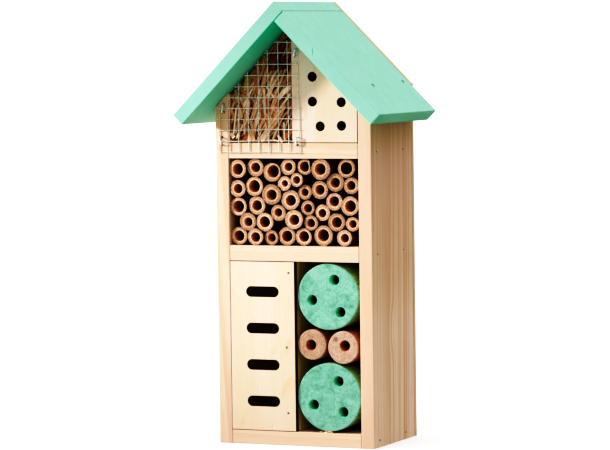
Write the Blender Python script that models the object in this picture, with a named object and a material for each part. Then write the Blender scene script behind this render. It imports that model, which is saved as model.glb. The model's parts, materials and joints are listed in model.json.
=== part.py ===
"""Insect hotel: a nailed pine box under a painted gable roof.

Four chambers hold the nesting material: a slotted butterfly box and a stack of
drilled log rounds below, bamboo canes in the middle, and wood wool behind wire
mesh beside a drilled plate in the gable.  Every board, cane, round, staple and
sheet is an object of its own.

The object is built with its front face at local y = 0, X across, +Z up and the
floor at z = 0.  The parent empty then centres the whole on the world origin.
"""

import math
import random

import bmesh
import bpy

MM = 0.001
GAP = 0.3 * MM                       # clearance between pieces that touch

# Box
BODY_WIDTH = 98 * MM
BODY_DEPTH = 62 * MM
WALL_THICKNESS = 8 * MM
BASE_THICKNESS = 8 * MM
SHELF_THICKNESS = 9 * MM
LOWER_SHELF_UNDERSIDE = 107 * MM
UPPER_SHELF_UNDERSIDE = 166.6 * MM
BACK_THICKNESS = 3 * MM
EASED_EDGE = 0.3 * MM

# Roof: two boards at 45 degrees that meet at a right angle along the ridge
RIDGE_HEIGHT = 257.2 * MM
ROOF_SLOPE_LENGTH = 91.5 * MM
ROOF_THICKNESS = 8 * MM
FRONT_OVERHANG = 24 * MM
BACK_PANEL_RISE = 0.2 * MM           # the back panel stands this far above the roof

# Front panels and their partitions
PLYWOOD_THICKNESS = 4 * MM
PARTITION_THICKNESS = 8 * MM
SLOT_LENGTH = 20.5 * MM
SLOT_HEIGHT = 6 * MM
SLOT_PITCH = 21.3 * MM
SLOT_COUNT = 4
SLOT_MIDDLE_HEIGHT = 57.2 * MM
PLATE_HOLE_DIAMETER = 5.5 * MM
PLATE_HOLES_MM = [(13.0, 213.7), (13.0, 199.4), (31.0, 199.0), (17.7, 185.2), (31.0, 185.5)]

# Log rounds and small rounds: middle across and up, diameter, holes about the middle
ROUND_RECESS = 1.5 * MM
ROUND_LENGTH = 59 * MM
ROUND_HOLE_DIAMETER = 6 * MM
ROUND_HOLE_DEPTH = 45 * MM
ROUNDS_MM = {
    "upper_log": (20.7, 86.9, 39.0, [(3.9, 9.8), (-10.2, -2.1), (7.5, -8.7)]),
    "lower_log": (20.6, 28.8, 40.2, [(5.9, 9.3), (-9.8, -4.7), (8.7, -8.4)]),
    "small_round_left": (10.2, 59.0, 18.0, [(-0.7, -0.2)]),
    "small_round_right": (29.6, 57.8, 19.3, [(1.2, 1.1)]),
}

# Bamboo canes, in five rows from the lower shelf up, each row from left to right:
# middle across, middle above the shelf, outside diameter, bore
CANE_ROWS_MM = [
    [(-36, 5, 10, 6.2), (-24.5, 4.5, 9.4, 5.6), (-15, 4, 8.4, 5), (-5.5, 5, 10.4, 6.4),
     (6, 4.5, 9.8, 6.2), (18.5, 5, 11.6, 7), (31, 4.5, 9.2, 5)],
    [(-30.5, 13, 10, 5), (-18.5, 13.5, 10.6, 6.4), (-0.5, 15, 10.8, 6), (10.5, 13, 8.6, 5),
     (26, 13.5, 10.4, 6), (36.5, 13, 8, 4.5)],
    [(-36.5, 22, 10.2, 6.8), (-23, 22, 10.6, 6), (-10, 19.5, 9.2, 4.7), (8, 22, 8.4, 5),
     (17, 19, 9.2, 4.8), (24.5, 25, 9.8, 5.8), (35.5, 23.5, 10.8, 6.6)],
    [(-35.5, 33, 9.6, 5.4), (-25, 33.5, 10.8, 7), (-14, 30, 11.6, 6), (-2, 26.5, 11.4, 6.2),
     (7, 31, 8.4, 4.4), (16, 33, 10.2, 5.7), (26, 36.5, 10.4, 5.6), (36, 35.5, 9.4, 5.2)],
    [(-35.5, 44.5, 10.4, 6.5), (-24.5, 45, 10.2, 5.5), (-13.5, 42.5, 10.6, 7.2), (-6, 35.5, 8.4, 3.8),
     (2, 38, 7.8, 4.4), (-4, 46, 9.2, 4.7), (7, 45.5, 9, 6), (17.5, 44.5, 11.8, 6.6), (32.5, 45.5, 10.4, 7)],
]
CANE_RECESS_RANGE_MM = (0.6, 2.6)
CANE_SIDES = 16
CANE_SETTLING_PASSES = 400

# Welded wire mesh of quarter-inch cells, cut along the left slope of the roof
MESH_PITCH = 6.35 * MM
MESH_WIRE = 0.7 * MM
MESH_COLUMNS = 9
MESH_ROWS = 11
MESH_LEFT = -46.3 * MM
MESH_BOTTOM = 170.3 * MM
MESH_STUB = 0.9 * MM                 # how far a wire's end runs past the last crossing
WELD_DEPTH = 0.1 * MM                # how far crossing wires sink into each other

# Staples over the mesh: middle across, and the row of the mesh each one straddles
STAPLE_PLACES_MM = {
    "staple_bottom_left": (-44.9, 1),
    "staple_top_left": (-43.5, 4),
    "staple_bottom_right": (3.2, 1),
    "staple_top_right": (2.8, 9),
}
STAPLE_CROWN = 5.2 * MM
STAPLE_WIDTH = 1.0 * MM
STAPLE_WIRE = 0.7 * MM
STAPLE_BITE = 3 * MM                 # how deep the legs sit in the wood

# Sawtooth hanger on the back, nailed through the panel into the roof boards' ends
HANGER_LENGTH = 38 * MM
HANGER_HEIGHT = 7 * MM
HANGER_THICKNESS = 0.9 * MM
HANGER_MIDDLE_HEIGHT = 233.5 * MM
HANGER_TEETH = 9
HANGER_TOOTH = 1.4 * MM
HANGER_NAIL_REACH = 16.5 * MM
HANGER_NAIL_HOLE = 2.0 * MM

HALF_WIDTH = BODY_WIDTH / 2
INNER_HALF = HALF_WIDTH - WALL_THICKNESS
LOWER_SHELF_TOP = LOWER_SHELF_UNDERSIDE + SHELF_THICKNESS
UPPER_SHELF_TOP = UPPER_SHELF_UNDERSIDE + SHELF_THICKNESS
ROOF_INNER_RIDGE = RIDGE_HEIGHT - ROOF_THICKNESS * math.sqrt(2)
BACK_FACE = BODY_DEPTH + GAP + BACK_THICKNESS + GAP + HANGER_THICKNESS

# Material name: colour as the eye sees it (0-255), roughness, metallic
FINISHES = {
    "pine": ((233, 203, 164), 0.65, 0.0),
    "plywood": ((241, 226, 196), 0.6, 0.0),
    "back_panel_wood": ((206, 170, 124), 0.75, 0.0),
    "mint_paint": ((126, 210, 176), 0.55, 0.0),
    "mint_log": ((122, 206, 172), 0.7, 0.0),
    "bamboo": ((222, 184, 134), 0.6, 0.0),
    "bare_round_wood": ((214, 172, 138), 0.75, 0.0),
    "wood_wool": ((202, 164, 108), 0.85, 0.0),
    "galvanised_wire": ((176, 178, 174), 0.4, 1.0),
    "staple_steel": ((190, 190, 186), 0.3, 1.0),
    "hanger_steel": ((182, 172, 150), 0.35, 1.0),
}


def clear_scene():
    for item in list(bpy.data.objects):
        bpy.data.objects.remove(item, do_unlink=True)


def linear(channel):
    """One 0-255 colour channel as the linear value that a shader uses."""
    value = channel / 255
    if value <= 0.04045:
        return value / 12.92
    return ((value + 0.055) / 1.055) ** 2.4


def new_material(name, finish):
    """A Principled material of its own for one object, in one of the finishes."""
    colour, roughness, metallic = FINISHES[finish]
    material = bpy.data.materials.new(name)
    material.use_nodes = True
    shader = material.node_tree.nodes["Principled BSDF"]
    rgb = [linear(channel) for channel in colour]
    shader.inputs["Base Color"].default_value = (*rgb, 1.0)
    shader.inputs["Roughness"].default_value = roughness
    shader.inputs["Metallic"].default_value = metallic
    material.diffuse_color = (*rgb, 1.0)
    return material


def add_object(name, shape, finish, location=(0, 0, 0), rotation=(0, 0, 0)):
    """Turn a bmesh into a named object under the hotel's empty."""
    mesh = bpy.data.meshes.new(name)
    shape.to_mesh(mesh)
    shape.free()
    item = bpy.data.objects.new(name, mesh)
    bpy.context.scene.collection.objects.link(item)
    item.parent = hotel
    item.location = location
    item.rotation_euler = rotation
    mesh.materials.append(new_material(name, finish))
    return item


def add_cutter(name, shape, target, location=(0, 0, 0)):
    """Subtract a hidden guide object from the target."""
    mesh = bpy.data.meshes.new(name)
    shape.to_mesh(mesh)
    shape.free()
    cutter = bpy.data.objects.new(name, mesh)
    bpy.context.scene.collection.objects.link(cutter)
    cutter.parent = hotel
    cutter.location = location
    cutter.hide_render = True
    cutter.display_type = "WIRE"
    cut = target.modifiers.new(name, "BOOLEAN")
    cut.operation = "DIFFERENCE"
    cut.solver = "EXACT"
    cut.object = cutter


def ease_edges(item, width=EASED_EDGE):
    """Slightly rounded board edges, as sanded wood has."""
    bevel = item.modifiers.new("eased_edges", "BEVEL")
    bevel.width = width
    bevel.segments = 1
    bevel.limit_method = "ANGLE"
    bevel.angle_limit = math.radians(40)


def shade_round(item):
    item.data.shade_smooth()
    item.data.set_sharp_from_angle(angle=math.radians(40))


def prism(outlines, depth, start=0.0):
    """Closed solids: each outline in the XZ plane, swept back along +Y from start."""
    shape = bmesh.new()
    for outline in outlines:
        front = [shape.verts.new((x, start, z)) for x, z in outline]
        back = [shape.verts.new((x, start + depth, z)) for x, z in outline]
        shape.faces.new(front)
        shape.faces.new(back[::-1])
        for index in range(len(outline)):
            after = (index + 1) % len(outline)
            shape.faces.new((front[index], back[index], back[after], front[after]))
    bmesh.ops.recalc_face_normals(shape, faces=shape.faces)
    return shape


def rectangle(left, right, bottom, top):
    return [(left, bottom), (right, bottom), (right, top), (left, top)]


def circle(middle_x, middle_z, diameter, sides):
    """A polygon whose area is a true circle's, so that a hole keeps its size."""
    radius = diameter / 2 / math.cos(math.pi / sides) ** 0.5
    step = 2 * math.pi / sides
    return [(middle_x + radius * math.cos(step * (index + 0.5)),
             middle_z + radius * math.sin(step * (index + 0.5))) for index in range(sides)]


def roof_underside(x):
    """Height of the roof's inner face, less the clearance, at a place across."""
    return ROOF_INNER_RIDGE - abs(x) - GAP * math.sqrt(2)


def build_base_and_shelves():
    half = INNER_HALF - GAP
    levels = {
        "base_board": (0.0, BASE_THICKNESS),
        "lower_shelf": (LOWER_SHELF_UNDERSIDE, SHELF_THICKNESS),
        "upper_shelf": (UPPER_SHELF_UNDERSIDE, SHELF_THICKNESS),
    }
    boards = {}
    for name, (height, thickness) in levels.items():
        shape = prism([rectangle(-half, half, 0, thickness)], BODY_DEPTH)
        boards[name] = add_object(name, shape, "pine", location=(0, 0, height))
        ease_edges(boards[name])
    return boards


def build_side_walls():
    """Uprights from the floor to the roof, their tops sloped to lie under it."""
    walls = {}
    for name, side in (("left_wall", -1), ("right_wall", 1)):
        outline = [(side * INNER_HALF, 0), (side * HALF_WIDTH, 0),
                   (side * HALF_WIDTH, roof_underside(HALF_WIDTH)),
                   (side * INNER_HALF, roof_underside(INNER_HALF))]
        walls[name] = add_object(name, prism([outline], BODY_DEPTH), "pine")
        ease_edges(walls[name])
    return walls


def build_back_panel():
    """A thin sheet behind the box and the roof boards' ends, with a gabled top."""
    peak = RIDGE_HEIGHT + BACK_PANEL_RISE
    outline = [(-HALF_WIDTH, 0), (HALF_WIDTH, 0), (HALF_WIDTH, peak - HALF_WIDTH),
               (0, peak), (-HALF_WIDTH, peak - HALF_WIDTH)]
    shape = prism([outline], BACK_THICKNESS)
    add_object("back_panel", shape, "back_panel_wood", location=(0, BODY_DEPTH + GAP, 0))


def build_roof():
    """The left board runs up to the ridge and the right one butts under it."""
    depth = FRONT_OVERHANG + BODY_DEPTH
    ridge = (0, -FRONT_OVERHANG, RIDGE_HEIGHT)
    slope = math.radians(45)
    left = prism([rectangle(-ROOF_SLOPE_LENGTH, 0, -ROOF_THICKNESS, 0)], depth)
    right_start = ROOF_THICKNESS + GAP
    right = prism([rectangle(right_start, ROOF_SLOPE_LENGTH, -ROOF_THICKNESS, 0)], depth)
    left_board = add_object("roof_board_left", left, "mint_paint", ridge, (0, -slope, 0))
    right_board = add_object("roof_board_right", right, "mint_paint", ridge, (0, slope, 0))
    ease_edges(left_board)
    ease_edges(right_board)


def build_partitions():
    """Upright boards behind the inner edges of the two front panels."""
    front = PLYWOOD_THICKNESS + GAP
    depth = BODY_DEPTH - front
    lower = rectangle(-PARTITION_THICKNESS, 0, BASE_THICKNESS + GAP, LOWER_SHELF_UNDERSIDE - GAP)
    add_object("lower_partition", prism([lower], depth), "pine", location=(0, front, 0))
    foot = UPPER_SHELF_TOP + GAP
    gable = [(0, foot), (PARTITION_THICKNESS, foot),
             (PARTITION_THICKNESS, roof_underside(PARTITION_THICKNESS)), (0, roof_underside(0))]
    add_object("gable_partition", prism([gable], depth), "pine", location=(0, front, 0))


def slot_outline(middle_x, middle_z):
    """A level slot with round ends."""
    radius = SLOT_HEIGHT / 2
    reach = SLOT_LENGTH / 2 - radius
    steps = 8
    points = []
    for end in (1, -1):
        for index in range(steps + 1):
            angle = math.pi * (index / steps - 0.5)
            points.append((middle_x + end * (reach + radius * math.cos(angle)),
                           middle_z + end * radius * math.sin(angle)))
    return points


def build_slot_panel():
    """The butterfly box's front: a plywood sheet with four level slots."""
    left = -INNER_HALF + GAP
    outline = rectangle(left, 0, BASE_THICKNESS + GAP, LOWER_SHELF_UNDERSIDE - GAP)
    panel = add_object("slot_panel", prism([outline], PLYWOOD_THICKNESS), "plywood")
    lowest = SLOT_MIDDLE_HEIGHT - SLOT_PITCH * (SLOT_COUNT - 1) / 2
    slots = [slot_outline(left / 2, lowest + SLOT_PITCH * index) for index in range(SLOT_COUNT)]
    add_cutter("slot_cutter", prism(slots, 3 * PLYWOOD_THICKNESS, -PLYWOOD_THICKNESS), panel)


def build_gable_plate():
    """The gable's drilled plywood plate, cut to the roof's slope."""
    right = INNER_HALF - GAP
    foot = UPPER_SHELF_TOP + GAP
    outline = [(0, foot), (right, foot), (right, roof_underside(right)), (0, roof_underside(0))]
    plate = add_object("gable_plate", prism([outline], PLYWOOD_THICKNESS), "plywood")
    holes = [circle(x * MM, z * MM, PLATE_HOLE_DIAMETER, 20) for x, z in PLATE_HOLES_MM]
    add_cutter("plate_drill", prism(holes, 3 * PLYWOOD_THICKNESS, -PLYWOOD_THICKNESS), plate)
    return plate


def build_rounds():
    """Drilled rounds: two painted logs and the two bare ones between them."""
    for name, (x, z, diameter, holes) in ROUNDS_MM.items():
        painted = name.endswith("log")
        finish = "mint_log" if painted else "bare_round_wood"
        sides = 48 if painted else 32
        shape = prism([circle(0, 0, diameter * MM, sides)], ROUND_LENGTH)
        place = (x * MM, ROUND_RECESS, z * MM)
        item = add_object(name, shape, finish, location=place)
        ease_edges(item)
        shade_round(item)
        drill = [circle(across * MM, up * MM, ROUND_HOLE_DIAMETER, 20) for across, up in holes]
        add_cutter(name + "_drill", prism(drill, 2 * ROUND_HOLE_DEPTH, -ROUND_HOLE_DEPTH), item, place)


def settled_canes():
    """Ease the canes apart until each one is clear of the others and of the chamber."""
    chamber_height = (UPPER_SHELF_UNDERSIDE - LOWER_SHELF_TOP) / MM
    half_width = INNER_HALF / MM
    clearance = 1.2 * GAP / MM
    canes = [list(cane) for row in CANE_ROWS_MM for cane in row]
    for _ in range(CANE_SETTLING_PASSES):
        for index, first in enumerate(canes):
            for second in canes[index + 1:]:
                across = second[0] - first[0]
                up = second[1] - first[1]
                distance = math.hypot(across, up)
                push = (first[2] + second[2]) / 2 + clearance - distance
                if push > 0:
                    first[0] -= across / distance * push / 2
                    first[1] -= up / distance * push / 2
                    second[0] += across / distance * push / 2
                    second[1] += up / distance * push / 2
        for cane in canes:
            room = cane[2] / 2 + clearance
            cane[0] = min(max(cane[0], room - half_width), half_width - room)
            cane[1] = min(max(cane[1], room), chamber_height - room)
    return canes


def cane_shape(diameter, bore, length):
    """A tube along +Y, turned from its wall's cross-section."""
    shape = bmesh.new()
    corners = [(bore / 2, 0), (diameter / 2, 0), (diameter / 2, length), (bore / 2, length)]
    wall = [shape.verts.new((radius, y, 0)) for radius, y in corners]
    edges = [shape.edges.new((wall[index], wall[(index + 1) % 4])) for index in range(4)]
    bmesh.ops.spin(shape, geom=wall + edges, cent=(0, 0, 0), axis=(0, 1, 0), dvec=(0, 0, 0),
                   angle=2 * math.pi, steps=CANE_SIDES, use_merge=True)
    bmesh.ops.remove_doubles(shape, verts=shape.verts, dist=0.00001)
    bmesh.ops.recalc_face_normals(shape, faces=shape.faces)
    return shape


def build_canes():
    """Bamboo canes, open at both ends, that reach back to the back panel."""
    chance = random.Random(37)
    for number, (x, up, diameter, bore) in enumerate(settled_canes(), start=1):
        recess = chance.uniform(*CANE_RECESS_RANGE_MM) * MM
        shape = cane_shape(diameter * MM, bore * MM, BODY_DEPTH - recess)
        place = (x * MM, recess, LOWER_SHELF_TOP + up * MM)
        shade_round(add_object(f"cane_{number:02d}", shape, "bamboo", location=place))


def build_wood_wool():
    """The packed wood wool as a plain solid that fills the gable's left half."""
    side = 1 * MM
    left = -INNER_HALF + side
    foot = UPPER_SHELF_TOP + side
    outline = [(left, foot), (-side, foot), (-side, roof_underside(side) - side),
               (left, roof_underside(left) - side)]
    front = 2.5 * MM
    shape = prism([outline], BODY_DEPTH - front - side)
    add_object("wood_wool", shape, "wood_wool", location=(0, front, 0))


def mesh_column_x(column):
    return MESH_LEFT + MESH_PITCH * column


def mesh_row_z(row):
    return MESH_BOTTOM + MESH_PITCH * row


def build_wire_mesh():
    """Upright wires against the front, level wires welded across them.

    The sheet is cut on the slope: each wire stops short of the roof's underside.
    """
    half = MESH_WIRE / 2
    clear_of_roof = 1 * MM
    right_end = mesh_column_x(MESH_COLUMNS - 1) + MESH_STUB
    top_end = mesh_row_z(MESH_ROWS - 1) + MESH_STUB
    uprights = []
    for column in range(MESH_COLUMNS):
        x = mesh_column_x(column)
        top = min(top_end, roof_underside(abs(x) + half) - clear_of_roof)
        uprights.append(rectangle(x - half, x + half, MESH_BOTTOM - MESH_STUB, top))
    levels = []
    for row in range(MESH_ROWS):
        z = mesh_row_z(row)
        slope_end = -(roof_underside(0) - clear_of_roof - z - half)
        left_end = max(MESH_LEFT - MESH_STUB, slope_end)
        levels.append(rectangle(left_end, right_end, z - half, z + half))
    back = -GAP - MESH_WIRE
    mesh = add_object("wire_mesh", prism(uprights, MESH_WIRE, back), "galvanised_wire")
    add_cutter("mesh_level_wires", prism(levels, MESH_WIRE, back - MESH_WIRE + WELD_DEPTH), mesh)
    mesh.modifiers["mesh_level_wires"].operation = "UNION"


def staple_shape():
    """A narrow-crown staple with an upright crown, its legs running back along +Y."""
    crown_front = -(GAP + 2 * MESH_WIRE - WELD_DEPTH + GAP + STAPLE_WIRE)
    outer = STAPLE_CROWN / 2
    inner = outer - STAPLE_WIRE
    crown_back = crown_front + STAPLE_WIRE
    outline = [(crown_front, -outer), (STAPLE_BITE, -outer), (STAPLE_BITE, -inner),
               (crown_back, -inner), (crown_back, inner), (STAPLE_BITE, inner),
               (STAPLE_BITE, outer), (crown_front, outer)]
    shape = prism([outline], STAPLE_WIDTH, -STAPLE_WIDTH / 2)
    quarter_turn = [(vertex.co.x, vertex.co.y, vertex.co.z) for vertex in shape.verts]
    for vertex, (depth, across, up) in zip(shape.verts, quarter_turn):
        vertex.co = (across, depth, up)
    bmesh.ops.recalc_face_normals(shape, faces=shape.faces)
    return shape


def build_staples(boards):
    """Four staples, each with two leg sockets in the board behind it."""
    leg = STAPLE_CROWN / 2 - STAPLE_WIRE / 2
    half_socket_width = STAPLE_WIDTH / 2 + GAP
    half_socket_height = STAPLE_WIRE / 2 + GAP
    for name, (across, row) in STAPLE_PLACES_MM.items():
        x = across * MM
        z = mesh_row_z(row)
        item = add_object(name, staple_shape(), "staple_steel", location=(x, 0, z))
        ease_edges(item, 0.15 * MM)
        for end, board in zip((-1, 1), boards[name]):
            socket = rectangle(x - half_socket_width, x + half_socket_width,
                               z + end * leg - half_socket_height, z + end * leg + half_socket_height)
            shape = prism([socket], 2 * (STAPLE_BITE + GAP), -STAPLE_BITE - GAP)
            add_cutter(f"{name}_socket_{end}", shape, board)


def build_hanger():
    """A steel strip with teeth along its lower edge and a nail hole at each end."""
    half = HANGER_LENGTH / 2
    top = HANGER_HEIGHT / 2
    bottom = -top
    pitch = 2 * HANGER_TOOTH
    teeth_start = -pitch * HANGER_TEETH / 2
    outline = [(-half, top), (-half, bottom)]
    for tooth in range(HANGER_TEETH):
        start = teeth_start + pitch * tooth
        outline.append((start, bottom))
        outline.append((start + HANGER_TOOTH, bottom + HANGER_TOOTH))
    outline += [(-teeth_start, bottom), (half, bottom), (half, top)]
    place = (0, BODY_DEPTH + GAP + BACK_THICKNESS + GAP, HANGER_MIDDLE_HEIGHT)
    strip = add_object("hanger", prism([outline], HANGER_THICKNESS), "hanger_steel", location=place)
    holes = [circle(side * HANGER_NAIL_REACH, 0, HANGER_NAIL_HOLE, 16) for side in (-1, 1)]
    drill = prism(holes, 3 * HANGER_THICKNESS, -HANGER_THICKNESS)
    add_cutter("hanger_drill", drill, strip, place)


clear_scene()
hotel = bpy.data.objects.new("insect_hotel", None)
bpy.context.scene.collection.objects.link(hotel)
hotel.location = (0, (FRONT_OVERHANG - BACK_FACE) / 2, 0)

shelves = build_base_and_shelves()
walls = build_side_walls()
build_back_panel()
build_roof()
build_partitions()
build_slot_panel()
plate = build_gable_plate()
build_rounds()
build_canes()
build_wood_wool()
build_wire_mesh()
build_staples({
    "staple_bottom_left": (walls["left_wall"], walls["left_wall"]),
    "staple_top_left": (walls["left_wall"], walls["left_wall"]),
    "staple_bottom_right": (shelves["upper_shelf"], plate),
    "staple_top_right": (plate, plate),
})
build_hanger()
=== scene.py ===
"""The insect hotel's looks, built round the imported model.

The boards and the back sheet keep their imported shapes, with new materials and
with nail pits cut into them.  The drilled panels, rounds, canes, wire mesh,
staples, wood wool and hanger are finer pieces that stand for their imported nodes.

Everything is in metres in the model's frame: X across, +Y to the back, +Z up.
The materials work in millimetres of the same frame, and colours are 0-255 as
the eye sees them.
"""

import json
import random
from math import atan2, copysign, cos, exp, hypot, pi, radians, sin, sqrt

import bmesh
import bpy
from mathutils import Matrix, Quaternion, Vector, noise


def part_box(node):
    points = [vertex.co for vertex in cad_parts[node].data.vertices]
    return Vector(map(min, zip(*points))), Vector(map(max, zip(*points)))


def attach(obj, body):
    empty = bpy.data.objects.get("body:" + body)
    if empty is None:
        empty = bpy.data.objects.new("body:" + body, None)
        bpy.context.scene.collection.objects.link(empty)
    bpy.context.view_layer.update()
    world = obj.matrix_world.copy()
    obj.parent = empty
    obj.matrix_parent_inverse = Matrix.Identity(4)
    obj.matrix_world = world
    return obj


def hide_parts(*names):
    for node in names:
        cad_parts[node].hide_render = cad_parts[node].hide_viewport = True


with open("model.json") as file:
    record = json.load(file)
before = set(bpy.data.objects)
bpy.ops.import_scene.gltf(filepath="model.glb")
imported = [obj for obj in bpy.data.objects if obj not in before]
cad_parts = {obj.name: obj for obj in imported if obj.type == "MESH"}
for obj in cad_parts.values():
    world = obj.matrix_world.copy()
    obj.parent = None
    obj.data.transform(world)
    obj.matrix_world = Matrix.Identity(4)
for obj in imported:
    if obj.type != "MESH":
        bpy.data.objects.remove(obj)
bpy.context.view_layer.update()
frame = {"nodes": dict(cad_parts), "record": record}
noise.seed_set(1)                    # without a seed, Blender's vector noise starts from the clock

MM = 0.001
ACROSS, BACKWARDS, UP = (1, 0, 0), (0, 1, 0), (0, 0, 1)
TO_FRONT = (0, -1, 0)
DIAGONAL = sqrt(0.5)
WHOLE_BOARD = (-2, -1)               # heights of a shade that is full from the ground up, in mm

# Camera
CAMERA_TARGET = Vector((-5.8, 8.2, 126.4)) * MM
CAMERA_DISTANCE = 1852 * MM
CAMERA_YAW = radians(24.0)           # to the right of the front
CAMERA_PITCH = radians(3.45)
CAMERA_ROLL = radians(-0.76)
CAMERA_LENS = 186.3                  # on a 36 mm sensor

# Lights.  The key is a soft spot to the left, whose light falls off towards the foot
KEY_FROM = Vector((-1.92, -1.0, 0.56))
KEY_TARGET = Vector((-8, -20, 142)) * MM
KEY_DISTANCE = 1200 * MM
KEY_POWER = 62
KEY_RADIUS = 58 * MM
KEY_CONE = radians(17.0)
TOP_STRENGTH = 2.0
TOP_ANGLE = radians(55)
SKY_STRENGTH = 0.58
SKY_LEAN = (-0.14, -0.15, 0.26)      # brighter from above, the left and the front
TONE_CURVE = [(0.07, 0.018), (0.19, 0.115), (0.385, 0.43), (0.69, 0.85), (0.88, 0.975)]
FLOOR_GREY = 0.92
FLOOR_PROFILE = [(3.0, 0.0), (4.5, 0.12), (6.0, 0.5), (7.5, 1.1)]

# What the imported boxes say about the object
NODES = frame["nodes"]
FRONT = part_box("left_wall")[0].y
HALF_WIDTH = -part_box("left_wall")[0].x
INNER_HALF = -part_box("left_wall")[1].x
LEFT_WALL_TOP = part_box("left_wall")[1].z
LOWER_SHELF_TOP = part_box("lower_shelf")[1].z
BASE_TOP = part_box("base_board")[1].z
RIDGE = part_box("roof_board_left")[1]

# Roof: its boards, the drying crack in one of them, and the painted seam between them
ROOF_THICKNESS = 8 * MM
ROOF_CHECK = (24.05 * MM, 230.8 * MM, 225.8 * MM)      # across, top, foot
ROOF_CHECK_HALF_WIDTH = 0.14 * MM
ROOF_CHECK_DEPTH = 1.2 * MM
SEAM_WIDTH = 0.54 * MM
SEAM_DEPTH = 0.27 * MM

# Drilled panels and rounds
SLOT_LENGTH = 20.5 * MM
SLOT_HEIGHT = 6 * MM
PLATE_HOLE_RADIUS = 2.75 * MM
PLATE_HOLES_MM = [(13.0, 213.7), (13.0, 199.4), (31.0, 199.0), (17.7, 185.2), (31.0, 185.5)]
SHEET_EDGE = 0.22 * MM
ROUND_HOLE_RADIUS = 3 * MM
ROUND_HOLE_DEPTH = 45 * MM
ROUND_EDGE = 0.5 * MM

# Canes
CANES = 37
CANE_SIDES = 44
CANE_SPREAD = 1.06                   # how far one may swell past its packed radius where there is room
CANE_CLEARANCE = 0.03 * MM
CANE_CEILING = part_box("upper_shelf")[0].z
KNUCKLE_WIDTH = 1.4 * MM
KNUCKLE_HEIGHT = 0.03                # as a share of the radius
FACE, SKIN, BORE = 0, 1, 2           # a cane's looks, in their order

# Mesh, staples and hanger
MESH_PITCH = 6.35 * MM
MESH_WIRE_RADIUS = 0.25 * MM
MESH_STUB = 0.9 * MM
MESH_ROOF_GAP = 1.3 * MM
MESH_UNEVEN_MM = 0.12                # how far a wire may lie off its even pitch
STAPLE_HALF_WIDTH = 0.5 * MM
STAPLE_HALF_THICKNESS = 0.33 * MM
STAPLE_BEND = 0.7 * MM
STAPLE_LEANS = {"staple_bottom_left": 9, "staple_top_left": -7, "staple_bottom_right": -5,
                "staple_top_right": -14}
HANGER_PITCH = 2.8 * MM
HANGER_TEETH = 9
HANGER_CORNER = 1.5 * MM
HANGER_NAIL_REACH = 16.5 * MM
HANGER_NAIL_RADIUS = 1.5 * MM
HANGER_HOLE_RADIUS = 1.0 * MM
HANGER_EDGE = 0.12 * MM

# Wood wool: strands in each layer, how near and far it lies behind the front, and its middle tone, lower in
# the deeper layers as painted shade
WOOL_LAYERS = [(90, 1.4, 4.0, 0.68), (170, 3.5, 8.0, 0.52), (230, 6.0, 14.0, 0.36),
               (300, 12.0, 40.0, 0.15)]
WOOL_CREST = 222 * MM
WOOL_HOLLOW = Vector((-10 * MM, FRONT, 220.5 * MM))      # no strand comes nearer to it than its reach
WOOL_HOLLOW_REACH = (8 * MM, 12 * MM, 3 * MM)
STRAND_STEP = 1.1 * MM
STRAND_LENGTHS_MM = (9, 34)
STRAND_THICKNESSES_MM = (0.15, 0.3)
WIDE_STRANDS = 0.36                  # their share
WIDE_STRANDS_MM = (1.6, 3.0)
NARROW_STRANDS_MM = (0.6, 1.4)
CREST_WIDTH = 1.3 * MM               # the widest strand at the top, where they are painted darker too, as shade
CREST_PAINTED_SHADE = 0.16
STRAND_LEAN = (67, 11)               # degrees from level, and their spread
COUNTER_STRANDS = 0.2                # the share that leans the other way
COUNTER_LEAN = (104, 15)
PALE_FOOT = 5 * MM                   # some strands that start this low are pale
PALE_STRANDS = 0.3
PALE_TONES = (0.8, 1.0)
SHAVINGS = 7                         # the stray ones on the base board, and where their row begins
SHAVINGS_FROM = 16.5 * MM
# The strands that stand out: start, end, bow, width, depth behind the front, tone
WOOL_FRONT_MM = [
    ((-19.0, 214.5), (-4.4, 216.6), 2.2, 1.1, 2.2, 0.55),
    ((-18.5, 212.6), (-5.5, 213.6), 1.6, 0.9, 2.8, 0.40),
    ((-9.9, 180.2), (-6.8, 175.9), 0.2, 1.5, 1.4, 1.0),
    ((-5.9, 187.6), (-5.3, 176.6), 0.3, 0.9, 1.6, 1.0),
    ((-40.2, 181.4), (-37.6, 178.7), 0.4, 2.2, 1.8, 1.0),
    ((-35.8, 188.5), (-28.6, 198.6), 0.3, 1.3, 1.5, 0.72),
    ((-22.8, 182.0), (-15.8, 192.4), -0.5, 2.0, 1.8, 0.66),
    ((-16.8, 190.6), (-9.8, 203.0), 0.5, 1.8, 2.0, 0.66),
    ((-16.4, 208.0), (-11.6, 201.6), 0.1, 1.1, 1.3, 0.90),
    ((-16.2, 181.8), (-5.0, 197.0), 0.6, 2.4, 1.9, 0.70),
    ((-33.1, 194.5), (-23.0, 209.4), 0.8, 1.4, 2.2, 0.50),
    ((-29.0, 204.6), (-14.6, 226.0), 0.8, 1.0, 2.4, 0.42),
    ((-20.2, 176.2), (-14.6, 182.4), 0.2, 1.3, 1.4, 0.92),
    ((-15.4, 177.0), (-9.4, 176.6), -0.4, 1.0, 1.4, 1.0),
    ((-31.6, 189.6), (-30.8, 180.4), -0.3, 1.0, 1.5, 0.85),
    ((-34.4, 187.0), (-34.0, 178.6), 0.3, 0.7, 1.5, 0.60),
]

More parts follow.
